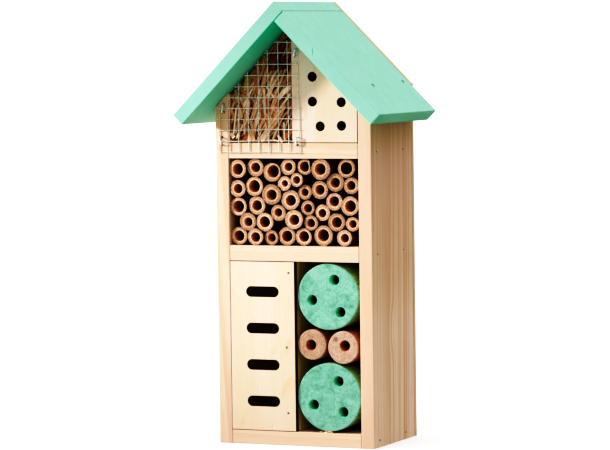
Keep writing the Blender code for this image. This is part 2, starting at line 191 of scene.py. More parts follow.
# Nails: heights of the pairs in each wall, and their depths behind the front face
WALL_NAIL_HEIGHTS = [4 * MM, 111.5 * MM, 170.5 * MM]
WALL_NAIL_DEPTHS = [9 * MM, 48.5 * MM]
NAIL_HEAD_RADIUS = 0.75 * MM
NAIL_REACH = 2.6 * MM                # of a pit, below its nail's head
BRADS_MM = [(-3.6, 100.3), (-5.2, 57.0), (-4.8, 18.7)]
BRAD_HEAD_RADIUS = 0.55 * MM
ROOF_NAILS_MM = [(48.7, 5.4), (47.4, 53.9)]
BACK_NAILS_MM = [(-45.2, 16), (45.0, 15), (-44.8, 93), (45.3, 94), (-45.0, 168), (44.8, 169),
                 (-18, 4), (21, 4.2)]
ROOF_NAIL_SINK = 0.9 * MM
ROOF_NAIL_RADIUS = 1.05 * MM

# Colours.  The ones past 255 brighten what they multiply
PINE = [(231, 202, 180), (210, 168, 134)]                # light and dark, as in the next ones
BASE_PINE = [(235, 204, 180), (210, 168, 134)]
SIDE_PINE = [(237, 211, 190), (211, 171, 134)]
PARTITION_PINE = [(234, 206, 134), (182, 144, 78)]
BACK_SHEET = [(226, 196, 166), (206, 168, 132)]
PANEL_PLY = [(231, 209, 189), (224, 190, 148)]
PLATE_PLY = [(231, 206, 191), (224, 188, 150)]
LOG_SIDE = [(166, 198, 130), (128, 160, 92)]
# The paint in the logs' holes, lighter and greener than on their faces: real paint with painted light on
# the hole walls
LOG_HOLE = [(128, 226, 188), (104, 186, 140)]
LOG_HOLE_DEEP = (150, 78, 34)
ROUND_SIDE = [(190, 130, 84), (150, 92, 52)]
ROUND_HOLE = [(206, 124, 72), (160, 84, 42)]
# Painted shade deep in the bare rounds' holes
ROUND_HOLE_PAINTED_SHADE = (84, 40, 20)
PLY_FIGURE = (226, 170, 106)
# Painted shade: darkens the right wall's side face from partway up
SIDE_UPPER_PAINTED_SHADE = (243, 239, 228)
# Dims the right wall's front face below its side face, so the side face carries painted light
FRONT_TONE = (250, 243, 245)
# Painted light on the eased front edges that look right or down, which the key light misses, so the joints
# show no dark line
EDGE_PAINTED_LIGHT = (276, 292, 314)
# Painted shade under the eave, on the right wall's side face
EAVE_PAINTED_SHADE = (230, 221, 177)
# Painted shadow of the roof on the top of the left wall's front face
WALL_PAINTED_SHADE = (246, 240, 208)
# Painted light on the left wall's inner face, from 100 mm up
INNER_PAINTED_LIGHT = (280, 262, 232)
CHAR = (40, 18, 10)
CHAR_BROWN = (92, 48, 26)
MINT = (150, 197, 179)
MINT_DEEP = (141, 189, 171)
MINT_WORN = (196, 222, 208)
# Painted shade on the roof boards' eave ends, which look down
EAVE_END_PAINTED_SHADE = (158, 206, 178)
UNDER_EAVE_PAINTED_LIGHT = (288, 260, 270)         # multiplies the paint on the undersides, from the eave up: painted light near the eave and painted green shade towards the ridge
UNDER_MIDDLE_PAINTED_LIGHT = (243, 298, 284)
UNDER_RIDGE_PAINTED_SHADE = (84, 282, 256)
LOG_MINT = (147, 193, 172)
LOG_MINT_DEEP = (116, 168, 143)
LOG_STAIN = (84, 142, 118)
ROUND_LIGHT = (208, 176, 154)
ROUND_DARK = (176, 140, 116)
ROUND_STAIN = (122, 84, 52)
CANE_LIGHT = (236, 203, 175)
CANE_MID = (193, 157, 132)
CANE_DARK = (122, 84, 58)
CANE_DULL = (206, 196, 184)
BORE_LIGHT = (240, 184, 118)
BORE_DARK = (192, 120, 66)
# Painted shade deep in the canes' bores, and the black of bores whose tone is low
BORE_DEEP_PAINTED_SHADE = (150, 62, 34)
BORE_PAINTED_BLACK = (30, 18, 12)
# Bamboo skin kept dark so the gaps between the canes look black: painted shade
SKIN_LIGHT = (118, 84, 52)
SKIN_DARK = (70, 44, 26)
# Strand tones from the lowest up; the lowest, a deep red on the deepest strands, stands for light bounced
# between them: painted light
WOOL_TONES = [(170, 62, 18), (196, 124, 64), (232, 192, 148), (252, 232, 206)]
# Painted shade multiplied into the strands near the crest and just under the roof
WOOL_CREST_PAINTED_SHADE = (224, 194, 152)
WOOL_UNDER_ROOF_PAINTED_SHADE = (206, 214, 130)
ROUND_LEFT_TINT = (245, 243, 243)
ROUND_RIGHT_TINT = (259, 263, 270)
NAIL_STEEL = (140, 100, 66)
NAIL_RUSTY = (72, 52, 42)
BRAD_STEEL = (138, 118, 100)
WIRE_STEEL = (238, 234, 222)
STAPLE_STEEL = (232, 232, 228)
HANGER_STEEL = (206, 194, 160)
RUST = (120, 84, 52)
WHITE = (255, 255, 255)


# ---- materials

def linear(colour):
    """A 0-255 colour as the linear values that a shader uses."""
    def channel(value):
        value = value / 255
        return value / 12.92 if value <= 0.04045 else ((value + 0.055) / 1.055) ** 2.4
    return (*[channel(value) for value in colour], 1.0)


def toned(colour, share):
    return [value * share for value in colour]


class Look:
    """One material's nodes, with short calls for the ones used here.

    The colour starts plain, and each coat goes over what is there."""

    def __init__(self, name, seed, colour):
        self.material = bpy.data.materials.new(name)
        self.material.use_nodes = True
        self.tree = self.material.node_tree
        self.colour = colour
        chance = random.Random(seed)
        self.shift = [chance.uniform(-400, 400) for _ in range(3)]
        metres = self.tree.nodes.new("ShaderNodeTexCoord").outputs["Object"]
        self.place = self.vector("MULTIPLY", metres, (1000, 1000, 1000))

    def add(self, kind, sockets, **settings):
        node = self.tree.nodes.new("ShaderNode" + kind)
        for key, value in settings.items():
            setattr(node, key, value)
        for key, value in sockets.items():
            self.feed(node.inputs[key], value)
        return node

    def feed(self, socket, value):
        if isinstance(value, bpy.types.NodeSocket):
            self.tree.links.new(value, socket)
        else:
            socket.default_value = linear(value) if socket.type == "RGBA" else value

    def math(self, operation, first, second=0.0):
        return self.add("Math", {0: first, 1: second}, operation=operation).outputs[0]

    def times(self, first, second):
        return self.math("MULTIPLY", first, second)

    def plus(self, first, second):
        return self.math("ADD", first, second)

    def vector(self, operation, first, second=(0, 0, 0), output="Vector"):
        return self.add("VectorMath", {0: first, 1: second}, operation=operation).outputs[output]

    def scaled(self, vector, factor):
        return self.add("VectorMath", {0: vector, "Scale": factor}, operation="SCALE").outputs["Vector"]

    def dot(self, vector, direction):
        return self.vector("DOT_PRODUCT", vector, direction, "Value")

    def length(self, vector):
        return self.vector("LENGTH", vector, output="Value")

    def axis(self, number):
        return self.add("SeparateXYZ", {0: self.place}).outputs[number]

    def attribute(self, name):
        return self.add("Attribute", {}, attribute_name=name).outputs["Fac"]

    def ramp(self, value, low, high, to_low=0.0, to_high=1.0):
        """Smooth step of a value from one range to another."""
        sockets = {"Value": value, "From Min": low, "From Max": high, "To Min": to_low, "To Max": to_high}
        return self.add("MapRange", sockets, interpolation_type="SMOOTHSTEP").outputs[0]

    def mix(self, factor, first, second, blend="MIX"):
        node = self.add("Mix", {0: factor, 6: first, 7: second}, data_type="RGBA", blend_type=blend)
        return node.outputs[2]

    def coat(self, amount, tint, blend="MIX"):
        """Another colour over, or multiplied into, the one so far."""
        self.colour = self.mix(amount, self.colour, tint, blend)

    def patches(self, value, start, full, strength, tint):
        """A coat where a value goes from start to full, up to a strength."""
        self.coat(self.ramp(value, start, full, 0.0, strength), tint)

    def noise(self, grain_size, detail=2.0, roughness=0.5, distortion=0.0, place=None, output=0):
        """Noise whose features are about grain_size across: output 0 is a value, 1 a colour."""
        moved = self.vector("ADD", self.place if place is None else place, self.shift)
        sockets = {"Vector": moved, "Scale": 1 / grain_size, "Detail": detail,
                   "Roughness": roughness, "Distortion": distortion}
        return self.add("TexNoise", sockets).outputs[output]

    def streaks(self, along, squeeze, grain_size, detail=2.0, roughness=0.5, output=0):
        """Noise drawn out along a direction."""
        travel = self.times(self.dot(self.place, along), 1 - squeeze)
        place = self.vector("SUBTRACT", self.place, self.scaled(along, travel))
        return self.noise(grain_size, detail, roughness, 0.0, place, output)

    def dots(self, spacing, size):
        """1 in scattered round dots, 0 between them."""
        moved = self.vector("ADD", self.place, self.shift)
        node = self.add("TexVoronoi", {"Vector": moved, "Scale": 1 / spacing})
        return self.ramp(node.outputs["Distance"], size, size * 0.5)

    def normal(self):
        return self.tree.nodes.new("ShaderNodeNewGeometry").outputs["True Normal"]

    def eased(self):
        """1 on faces square to no world axis, such as a board's eased edges."""
        parts = self.add("SeparateXYZ", {0: self.vector("ABSOLUTE", self.normal())}).outputs
        largest = self.math("MAXIMUM", self.math("MAXIMUM", parts[0], parts[1]), parts[2])
        return self.ramp(largest, 0.98, 0.9)

    def downward(self):
        """1 on faces that look down, where the roof's paint gets painted shade and light."""
        return self.ramp(self.add("SeparateXYZ", {0: self.normal()}).outputs[2], -0.2, -0.6)

    def facing(self, along):
        """1 on faces square to a direction, such as a board's sawn ends."""
        return self.ramp(self.math("ABSOLUTE", self.dot(self.normal(), along)), 0.8, 0.95)

    def towards(self, direction):
        """1 on faces that look along a direction."""
        return self.ramp(self.dot(self.normal(), direction), 0.8, 0.95)

    def bump(self, height, depth_mm, strength):
        sockets = {"Height": height, "Distance": depth_mm * MM, "Strength": strength}
        return self.add("Bump", sockets).outputs[0]

    def finish(self, roughness, normal=None, metallic=0.0, specular=0.5):
        sockets = self.tree.nodes["Principled BSDF"].inputs
        self.feed(sockets["Base Color"], self.colour)
        self.feed(sockets["Roughness"], roughness)
        sockets["Metallic"].default_value = metallic
        sockets["Specular IOR Level"].default_value = specular
        if normal is not None:
            self.feed(sockets["Normal"], normal)
        return self.material


def growth(look, along, pith, ring, wander=5.0, tilt=(0, 0, 0), knot=None):
    """Late wood of the growth rings about a pith line, and the fibre's fine streaks, each 0 to 1."""
    drift = look.vector("SUBTRACT", look.streaks(along, 0.08, 22, output=1), (0.5, 0.5, 0.5))
    travel = look.dot(look.place, along)
    across = look.vector("SUBTRACT", look.place, look.scaled(along, travel))
    across = look.vector("ADD", across, look.scaled(drift, wander))
    across = look.vector("ADD", across, look.scaled(tilt, travel))
    radius = look.length(look.vector("SUBTRACT", across, pith))
    if knot is not None:
        place, stretch, reach, lift = knot
        away = look.vector("MULTIPLY", look.vector("SUBTRACT", look.place, place), stretch)
        radius = look.plus(radius, look.ramp(look.length(away), reach, 0.0, 0.0, lift))
    along_radius = {"W": look.plus(radius, look.shift[0]), "Scale": 0.11, "Detail": 1.0}
    uneven = look.add("TexNoise", along_radius, noise_dimensions="1D").outputs[0]
    phase = look.math("FRACT", look.plus(look.math("DIVIDE", radius, ring), look.times(uneven, 3.0)))
    late = look.times(look.ramp(phase, 0.15, 0.85), look.ramp(phase, 1.0, 0.88))
    return late, look.streaks(along, 0.02, 0.55, 4.0, 0.65)


def wood_look(name, along, pith, seed, ring, tones=PINE, contrast=0.6, wander=5.0, tilt=(0, 0, 0),
              knot=None, relief=1.0, shades=()):
    """Planed softwood: growth rings, fibre streaks, short resin flecks and soft patches.

    Each shade is a direction, two heights in millimetres and a colour: it multiplies the faces
    that look that way, from nothing at the first height to all of it at the second.  The shades
    given to the boards are painted shade and painted light."""
    light, dark = tones
    look = Look(name, seed, light)
    late, fibre = growth(look, along, pith, ring, wander, tilt, knot)
    patch = look.streaks(along, 0.2, 30)
    look.coat(look.times(late, look.times(look.ramp(patch, 0.25, 0.75, 0.35, 1.0), contrast)), dark)
    look.patches(fibre, 0.3, 0.75, 0.32, dark)
    look.patches(look.streaks(along, 0.06, 0.9), 0.68, 0.78, 0.35, toned(dark, 0.66))
    if relief < 1:
        look.patches(look.streaks((0.35, 0, 0.94), 0.3, 9), 0.62, 0.74, 0.3, PLY_FIGURE)
    # Painted light: the eased edges are lightened half way to the light tone, against the shade they lie in
    look.coat(look.times(look.eased(), 0.5), light)
    for direction, first, last, tint in shades:
        amount = look.times(look.ramp(look.axis(2), first, last), look.towards(direction))
        look.coat(amount, tint, "MULTIPLY")
    height = look.plus(look.times(fibre, 0.7), look.times(late, 0.3))
    roughness = look.ramp(fibre, 0.2, 0.8, 0.58, 0.74)
    return look.finish(roughness, look.bump(height, 0.12 * relief, 0.5), specular=0.35)


def char_look():
    """A laser-cut plywood edge: scorched brown, darker at the glue lines."""
    look = Look("charred_edge", 5, CHAR)
    plies = look.math("SINE", look.times(look.dot(look.place, BACKWARDS), 2 * pi / 1.35))
    smoke = look.noise(1.6, 3.0)
    look.patches(look.plus(look.times(plies, 0.2), smoke), 0.35, 0.85, 1.0, CHAR_BROWN)
    return look.finish(0.85, look.bump(smoke, 0.1, 0.6), specular=0.2)


def paint_look(name, along, pith, seed):
    """Thin mint paint that lets the wood's grain show as faint ridges, worn pale on the edges."""
    look = Look(name, seed, MINT)
    late, fibre = growth(look, along, pith, 3.4, 4.0)
    cloud = look.noise(9, 3.0, 0.55)
    look.coat(look.ramp(cloud, 0.3, 0.7, 0.3, 0.7), MINT_DEEP)
    look.coat(look.times(late, 0.02), toned(MINT_DEEP, 0.9))
    look.patches(fibre, 0.45, 0.8, 0.05, toned(MINT_DEEP, 0.86))
    grit = look.noise(0.7)
    look.patches(grit, 0.7, 0.78, 0.3, MINT_WORN)
    # Painted light and shade on the undersides: lighter near the eave, deep green towards the ridge
    level = look.axis(2)
    under = look.mix(look.ramp(level, 170, 206), UNDER_EAVE_PAINTED_LIGHT, UNDER_MIDDLE_PAINTED_LIGHT)
    under = look.mix(look.ramp(level, 212, 244), under, UNDER_RIDGE_PAINTED_SHADE)
    look.coat(look.downward(), under, "MULTIPLY")
    # Painted shade on the eave ends
    look.coat(look.times(look.facing(along), look.downward()), EAVE_END_PAINTED_SHADE, "MULTIPLY")
    height = look.plus(look.times(fibre, 0.6), look.times(late, 0.15))
    height = look.plus(height, look.times(grit, 0.3))
    return look.finish(look.ramp(cloud, 0.2, 0.8, 0.5, 0.62), look.bump(height, 0.1, 0.2), specular=0.4)


def log_paint_look(name, pith, seed):
    """Mint paint soaked into sawn end grain: blotches, saw marks and open pores."""
    look = Look(name, seed, LOG_MINT)
    late, _ = growth(look, BACKWARDS, pith, 2.4, 2.5)
    blotch = look.noise(7, 5.0, 0.62, 0.8)
    look.patches(blotch, 0.38, 0.66, 0.75, LOG_MINT_DEEP)
    look.coat(look.times(late, 0.1), toned(LOG_MINT_DEEP, 0.86))
    fine = look.noise(1.0, 5.0, 0.8)
    look.patches(fine, 0.5, 0.66, 0.6, toned(LOG_MINT_DEEP, 0.8))
    look.patches(fine, 0.46, 0.3, 0.4, toned(LOG_MINT, 1.15))
    stain = look.times(look.ramp(blotch, 0.56, 0.68), look.ramp(fine, 0.44, 0.56))
    look.coat(look.times(stain, 0.55), LOG_STAIN)
    height = look.math("SUBTRACT", look.times(blotch, 0.4), fine)
    return look.finish(0.72, look.bump(height, 0.25, 0.6), specular=0.25)


def round_look(name, pith, seed, tint, stain=None):
    """Bare sawn end grain: fine rings, pores, saw fuzz and, about a place, a brown stain."""
    look = Look(name, seed, ROUND_LIGHT)
    late, _ = growth(look, BACKWARDS, pith, 1.25, 1.6)
    patch = look.noise(4, 4.0, 0.6)
    look.coat(look.ramp(patch, 0.3, 0.7, 0.1, 0.7), ROUND_DARK)
    look.coat(look.times(late, 0.16), toned(ROUND_DARK, 0.8))
    fine = look.noise(0.8, 5.0, 0.8)
    look.patches(fine, 0.5, 0.66, 0.65, toned(ROUND_DARK, 0.74))
    look.patches(fine, 0.46, 0.32, 0.5, toned(ROUND_LIGHT, 1.1))
    if stain is not None:
        away = look.vector("MULTIPLY", look.vector("SUBTRACT", look.place, stain), (1, 0.2, 1))
        look.patches(look.plus(look.length(away), look.times(patch, 3.0)), 3.7, 2.2, 0.6, ROUND_STAIN)
    look.coat(1.0, tint, "MULTIPLY")
    return look.finish(0.78, look.bump(fine, -0.25, 0.7), specular=0.25)


def bark_look(name, tones, seed, deeper=None):
    """The side of a turned round or of a hole, with streaks along it, and another tone deep in a hole:
    bare wood past the paint in the mint logs, painted shade in the bare rounds.
    """
    look = Look(name, seed, tones[0])
    streak = look.streaks(BACKWARDS, 0.08, 1.6, 4.0, 0.6)
    look.patches(streak, 0.3, 0.7, 1.0, tones[1])
    if deeper is not None:
        look.patches(look.plus(look.axis(1), look.times(streak, 3.0)), -16, -9, 1.0, deeper)
    return look.finish(0.7, look.bump(streak, 0.15, 0.6), specular=0.3)


def cane_face_look():
    """Bamboo's cut face: a pale wall with dark fibre bundles towards the skin."""
    look = Look("bamboo_cut_face", 11, CANE_LIGHT)
    wall = look.attribute("across_wall")
    look.patches(look.plus(wall, look.times(look.noise(1.6), 0.3)), 0.38, 0.64, 1.0, CANE_MID)
    look.patches(wall, 0.82, 1.0, 0.75, CANE_DARK)
    look.patches(wall, 0.12, 0.0, 0.4, CANE_DARK)
    bundles = look.dots(0.62, 0.46)
    look.coat(look.times(bundles, look.ramp(wall, 0.0, 0.9, 0.2, 0.7)), toned(CANE_DARK, 0.86))
    patch = look.noise(2.2, 3.0)
    look.patches(patch, 0.35, 0.75, 0.5, CANE_MID)
    fine = look.noise(0.9, 3.0, 0.7)
    rim = look.ramp(wall, 0.35, 0.95, 0.35, 1.0)
    look.coat(look.times(look.ramp(fine, 0.53, 0.66, 0.0, 0.62), rim), CANE_DARK)
    look.patches(fine, 0.46, 0.34, 0.55, toned(CANE_LIGHT, 1.05))
    look.coat(1.0, look.mix(look.attribute("tone"), CANE_DULL, WHITE), "MULTIPLY")
    height = look.math("SUBTRACT", patch, look.times(bundles, 0.8))
    return look.finish(0.68, look.bump(height, 0.16, 0.6), specular=0.3)


def cane_skin_look():
    # Painted shade: the skin is dark so the gaps between the canes look black
    look = Look("bamboo_skin", 12, SKIN_LIGHT)
    streak = look.streaks(BACKWARDS, 0.03, 0.5, 3.0)
    patch = look.noise(9, 3.0)
    look.patches(streak, 0.3, 0.7, 1.0, SKIN_DARK)
    look.patches(patch, 0.45, 0.75, 0.6, CANE_DARK)
    return look.finish(look.ramp(patch, 0.2, 0.8, 0.38, 0.55), look.bump(streak, 0.06, 0.5))


def cane_bore_look():
    """Bamboo's bore, with painted shade: redder and darker deep inside, and black in the canes whose tone
    is low.
    """
    look = Look("bamboo_bore", 13, BORE_LIGHT)
    streak = look.streaks(BACKWARDS, 0.05, 0.7, 3.0)
    look.patches(streak, 0.3, 0.7, 1.0, BORE_DARK)
    look.patches(look.axis(1), -20, -11, 1.0, BORE_DEEP_PAINTED_SHADE)
    look.patches(look.attribute("tone"), 0.35, 0.0, 0.8, BORE_PAINTED_BLACK)
    return look.finish(0.8, look.bump(streak, 0.1, 0.6), specular=0.2)


def wool_look():
    """Wood wool: each strand has its own tone, with fibres along it."""
    look = Look("wood_wool_strands", 17, WOOL_TONES[0])
    tone = look.attribute("tone")
    for step, shade in enumerate(WOOL_TONES[1:]):
        look.patches(tone, step / 3, (step + 1) / 3, 1.0, shade)
    fibre = look.streaks((0.3, 0, 0.95), 0.12, 0.6, 3.0)
    look.patches(fibre, 0.46, 0.7, 0.6, WOOL_TONES[1])
    # Painted shade: darker strands near the crest, and darker olive ones just under the roof
    look.coat(look.ramp(look.axis(2), 206, 222), WOOL_CREST_PAINTED_SHADE, "MULTIPLY")
    highest = roof_under(0) / MM
    under_roof = look.ramp(look.dot(look.place, (-1, 0, 1)), highest - 12, highest - 1, 0.0, 0.9)
    look.coat(under_roof, WOOL_UNDER_ROOF_PAINTED_SHADE, "MULTIPLY")
    return look.finish(0.75, look.bump(fibre, 0.08, 0.6), specular=0.3)


def steel_look(name, shade, rust, seed, roughness, metallic, patch=1.1):
    """Zinc-coated steel: dull patches and a little brown in the pits."""
    look = Look(name, seed, shade)
    spangle = look.noise(patch, 3.0)
    look.patches(spangle, 0.3, 0.7, 1.0, toned(shade, 0.82))
    look.patches(spangle, 0.66, 0.8, rust, RUST)
    uneven = look.ramp(spangle, 0.2, 0.8, roughness - 0.1, roughness + 0.15)
    return look.finish(uneven, look.bump(spangle, 0.03, 0.5), metallic=metallic)


def floor_look():
    white = 255 * FLOOR_GREY ** (1 / 2.2)
    look = Look("pale_floor", 3, [white] * 3)
    look.patches(look.noise(260), 0.3, 0.7, 1.0, [white * 252 / 255] * 3)
    return look.finish(0.9, specular=0.0)


# ---- shapes

def put(name, data):
    thing = bpy.data.objects.new(name, data)
    bpy.context.scene.collection.objects.link(thing)
    return thing


def mesh_from(shape, name):
    """Turn a bmesh into a mesh whose faces look outwards."""
    bmesh.ops.recalc_face_normals(shape, faces=shape.faces)
    mesh = bpy.data.meshes.new(name)
    shape.to_mesh(mesh)
    shape.free()
    return mesh


def mesh_of(thing):
    """A mesh of what an object's modifiers or curve settings make of it."""
    depsgraph = bpy.context.evaluated_depsgraph_get()
    return bpy.data.meshes.new_from_object(thing.evaluated_get(depsgraph), depsgraph=depsgraph)


def shade_round(mesh, smooth_to):
    mesh.shade_smooth()
    mesh.set_sharp_from_angle(angle=radians(smooth_to))


def add_piece(name, shape, looks, stands_for=(), smooth_to=0):
    """Turn a bmesh into a piece of the object, shaded smooth across edges up to an angle."""
    piece = put(name, mesh_from(shape, name))
    if smooth_to:
        shade_round(piece.data, smooth_to)
    for look in looks:
        piece.data.materials.append(look)
    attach(piece, "root")
    if stands_for:
        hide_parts(*stands_for)
    return piece


def around(sides, radius=1.0):
    """Places round a circle, as (across, up)."""
    turns = [2 * pi * index / sides for index in range(sides)]
    return [(radius * cos(turn), radius * sin(turn)) for turn in turns]


def bridge(shape, rings, look=0):
    """Quads between rings that have the same number of vertices."""
    for near, far in zip(rings, rings[1:]):
        count = len(near)
        for index in range(count):
            after = (index + 1) % count
            face = shape.faces.new((near[index], near[after], far[after], far[index]))
            face.material_index = look


def close_up(shape, rings, look=0):
    """A closed solid from a run of rings, with a face on each end."""
    bridge(shape, rings, look)
    for ring in (rings[0], rings[-1]):
        shape.faces.new(ring).material_index = look


def sweep(shape, path, section):
    """Carry a closed section of (sideways, outwards) offsets along a path, with both ends shut.

    path is a list of (point, sideways, outwards), and section a function of the step."""
    rings = []
    for step, (point, sideways, outwards) in enumerate(path):
        rings.append([shape.verts.new(point + sideways * a + outwards * b) for a, b in section(step)])
    close_up(shape, rings)


def cut_away(target, cutter_mesh, name):
    """Cut a hidden mesh out of a piece with a modifier."""
    cutter = put(name, cutter_mesh)
    cutter.hide_render = True
    cutter.display_type = "WIRE"
    cut = target.modifiers.new(name, "BOOLEAN")
    cut.operation = "DIFFERENCE"
    cut.solver = "EXACT"
    cut.object = cutter
    return cutter


def drop_crumbs(mesh, fewest=8):
    """Delete the scraps of a cut: groups of joined faces with fewer than a few members."""
    shape = bmesh.new()
    shape.from_mesh(mesh)
    many_sided = [face for face in shape.faces if len(face.verts) > 3]
    bmesh.ops.triangulate(shape, faces=many_sided)
    unseen = set(shape.faces)
    crumbs = []
    while unseen:
        group = [unseen.pop()]
        for face in group:
            for edge in face.edges:
                if len(edge.link_faces) == 2:
                    fresh = [other for other in edge.link_faces if other in unseen]
                    unseen.difference_update(fresh)
                    group.extend(fresh)
        if len(group) < fewest:
            crumbs.extend(group)
    bmesh.ops.delete(shape, geom=crumbs, context="FACES")
    shape.to_mesh(mesh)
    shape.free()


def settle(piece, cutter):
    """Apply a piece's cut and remove the cutter."""
    mesh = mesh_of(piece)
    piece.modifiers.clear()
    drop_crumbs(mesh)
    piece.data = mesh
    bpy.data.objects.remove(cutter)


def circle(x, z, radius, sides):
    return [(x + across, z + up) for across, up in around(sides, radius)]


def cut_sheet(name, outlines, low, high, looks, stands_for, edge=SHEET_EDGE):
    """A sheet in the XZ plane with holes and eased edges; its second look is on the cut edges."""
    thickness = high.y - low.y
    curve = bpy.data.curves.new(name, "CURVE")
    curve.dimensions = "2D"
    curve.fill_mode = "BOTH"
    curve.extrude = thickness / 2 - edge
    curve.bevel_depth = edge
    curve.bevel_resolution = 1
    curve.offset = -edge
    for outline in outlines:
        spline = curve.splines.new("POLY")
        spline.points.add(len(outline) - 1)
        for point, (x, z) in zip(spline.points, outline):
            point.co = (x, z, 0, 1)
        spline.use_cyclic_u = True
    drawn = put(name + "_outline", curve)
    shape = bmesh.new()
    shape.from_mesh(mesh_of(drawn))
    bpy.data.objects.remove(drawn)
    for vertex in shape.verts:
        x, z, depth = vertex.co
        vertex.co = (x, low.y + thickness / 2 - depth, z)
    bmesh.ops.remove_doubles(shape, verts=shape.verts, dist=0.002 * MM)
    bmesh.ops.dissolve_degenerate(shape, dist=0.001 * MM, edges=shape.edges)
    shape.normal_update()
    for face in shape.faces:
        face.smooth = False
        face.material_index = 0 if abs(face.normal.y) > 0.9 else 1
    return add_piece(name, shape, looks, stands_for)


def wobble(point, size, amount):
    """A small smooth displacement that depends only on the place."""
    return noise.noise_vector(Vector(point) / size) * amount


def roof_under(x):
    """Height of the roof's underside at a place across, less its clearance."""
    return LEFT_WALL_TOP + INNER_HALF - abs(x)


# ---- boards

def dress(node, look):
    """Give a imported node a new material."""
    for slot in NODES[node].material_slots:
        slot.material = look


def dress_boards():
    # Painted light on the eased front edges that look right or down
    right_edge = ((DIAGONAL, -DIAGONAL, 0), *WHOLE_BOARD, EDGE_PAINTED_LIGHT)
    lower_edge = ((0, -DIAGONAL, -DIAGONAL), *WHOLE_BOARD, EDGE_PAINTED_LIGHT)
    # The right wall's side face gets painted shade towards the roof, and painted light that keeps it
    # lighter than its dimmed front face
    side_shades = [(ACROSS, 60, 112, SIDE_UPPER_PAINTED_SHADE), (ACROSS, 160, 186, EAVE_PAINTED_SHADE),
                   (TO_FRONT, *WHOLE_BOARD, FRONT_TONE)]
    # The left wall gets a painted shadow at the top of its front, and painted light on its inner face and
    # on its eased right edge
    left_shades = [(TO_FRONT, 178, 192, WALL_PAINTED_SHADE), (ACROSS, 90, 100, INNER_PAINTED_LIGHT), right_edge]
    dress("right_wall", wood_look(
        "pine_right_wall", UP, (38, -78, 0), 21, 8.4, SIDE_PINE, 0.9, 7.0,
        tilt=(0.01, -0.02, 0), knot=((49, 8, 66), (1, 1, 0.4), 9, 3.0), shades=side_shades))
    dress("left_wall", wood_look(
        "pine_left_wall", UP, (-14, 24, 0), 22, 4.4, contrast=0.7,
        tilt=(0.02, 0.02, 0), shades=left_shades))
    dress("base_board", wood_look(
        "pine_base", ACROSS, (0, 20, -34), 23, 3.8, BASE_PINE, 0.4, shades=[right_edge]))
    for node, pith, seed, ring in (("lower_shelf", (0, -12, 142), 24, 4.4),
                                   ("upper_shelf", (0, 14, 130), 25, 4.0)):
        dress(node, wood_look("pine_" + node, ACROSS, pith, seed, ring, contrast=0.4,
                              shades=[right_edge, lower_edge]))
    dress("lower_partition", wood_look(
        "pine_lower_partition", UP, (-30, 20, 0), 26, 3.6, PARTITION_PINE))
    dress("gable_partition", wood_look("pine_gable_partition", UP, (-30, 10, 0), 27, 3.6))
    dress("back_panel", wood_look("back_sheet", UP, (8, 160, 0), 28, 5.2, BACK_SHEET, 0.8, 14.0))
    for side, name, pith, seed in ((1, "left", (-40, 10, 250), 31), (-1, "right", (45, 0, 250), 32)):
        look = paint_look(f"mint_{name}_board", (DIAGONAL, 0, side * DIAGONAL), pith, seed)
        dress("roof_board_" + name, look)


def make_roof_check():
    """The short drying crack in the right roof board's front face."""
    x, top, foot = ROOF_CHECK
    board_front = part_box("roof_board_right")[0].y
    near = board_front - 1 * MM
    far = board_front + ROOF_CHECK_DEPTH
    shape = bmesh.new()
    rings = []
    for step in range(7):
        share = step / 6
        z = top + (foot - top) * share
        half = ROOF_CHECK_HALF_WIDTH * (0.25 + sin(pi * share))
        middle = x + wobble((0, 0, z), 2 * MM, 0.25 * MM).x
        ring = [(middle - half, near, z), (middle + half, near, z),
                (middle + 0.3 * half, far, z), (middle - 0.3 * half, far, z)]
        rings.append([shape.verts.new(place) for place in ring])
    close_up(shape, rings)
    cut_away(NODES["roof_board_right"], mesh_from(shape, "roof_check"), "roof_check")


def make_ridge_seam():
    """The paint that bridges the groove where the right board meets the left one's end."""
    low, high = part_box("roof_board_right")
    down_slope = Vector((1, 0, -1)).normalized()
    outwards = Vector((1, 0, 1)).normalized()
    seam = ROOF_THICKNESS * DIAGONAL
    steps = 60
    path = []
    for step in range(steps + 1):
        y = low.y + 0.4 * MM + (high.y - low.y - 0.8 * MM) * step / steps
        path.append((Vector((seam, y, RIDGE.z - seam)), down_slope, outwards))

    def section(step):
        sunk = (0.07 + 0.05 * noise.noise(Vector((step * 0.31, 0, 0)))) * MM
        half, foot = SEAM_WIDTH / 2, 0.05 * MM
        return [(-half, -sunk), (half, -sunk), (foot, -SEAM_DEPTH), (-foot, -SEAM_DEPTH)]

    shape = bmesh.new()
    sweep(shape, path, section)
    add_piece("ridge_seam_paint", shape, [bpy.data.materials["mint_right_board"]])


# ---- nails

def nail_solid(shape, place, outwards, profile, sides, ragged=0.0):
    """A closed solid about a nail's axis, from a profile of (radius, level above the surface)."""
    outwards = Vector(outwards).normalized()
    sideways = outwards.orthogonal().normalized()
    other = outwards.cross(sideways)
    rings = []
    for radius, level in profile:
        ring = []
        for c, s in around(sides):
            uneven = 1 + ragged * noise.noise(Vector((c, s, place.z * 90)))
            offset = (sideways * c + other * s) * radius * uneven
            ring.append(shape.verts.new(place + offset + outwards * level))
        rings.append(ring)
    close_up(shape, rings)


def nail_head(shape, place, outwards, radius, sink):
    """A nail's head and a little of its shank, sunk below the surface, facing outwards."""
    shares = [(0.3, 2.2), (0.34, 0.5), (0.92, 0.28), (1.0, 0.12), (0.9, 0.03), (0.45, 0.0)]
    profile = [(radius * share, -sink - depth * MM) for share, depth in shares]
    nail_solid(shape, place, outwards, profile, 16)


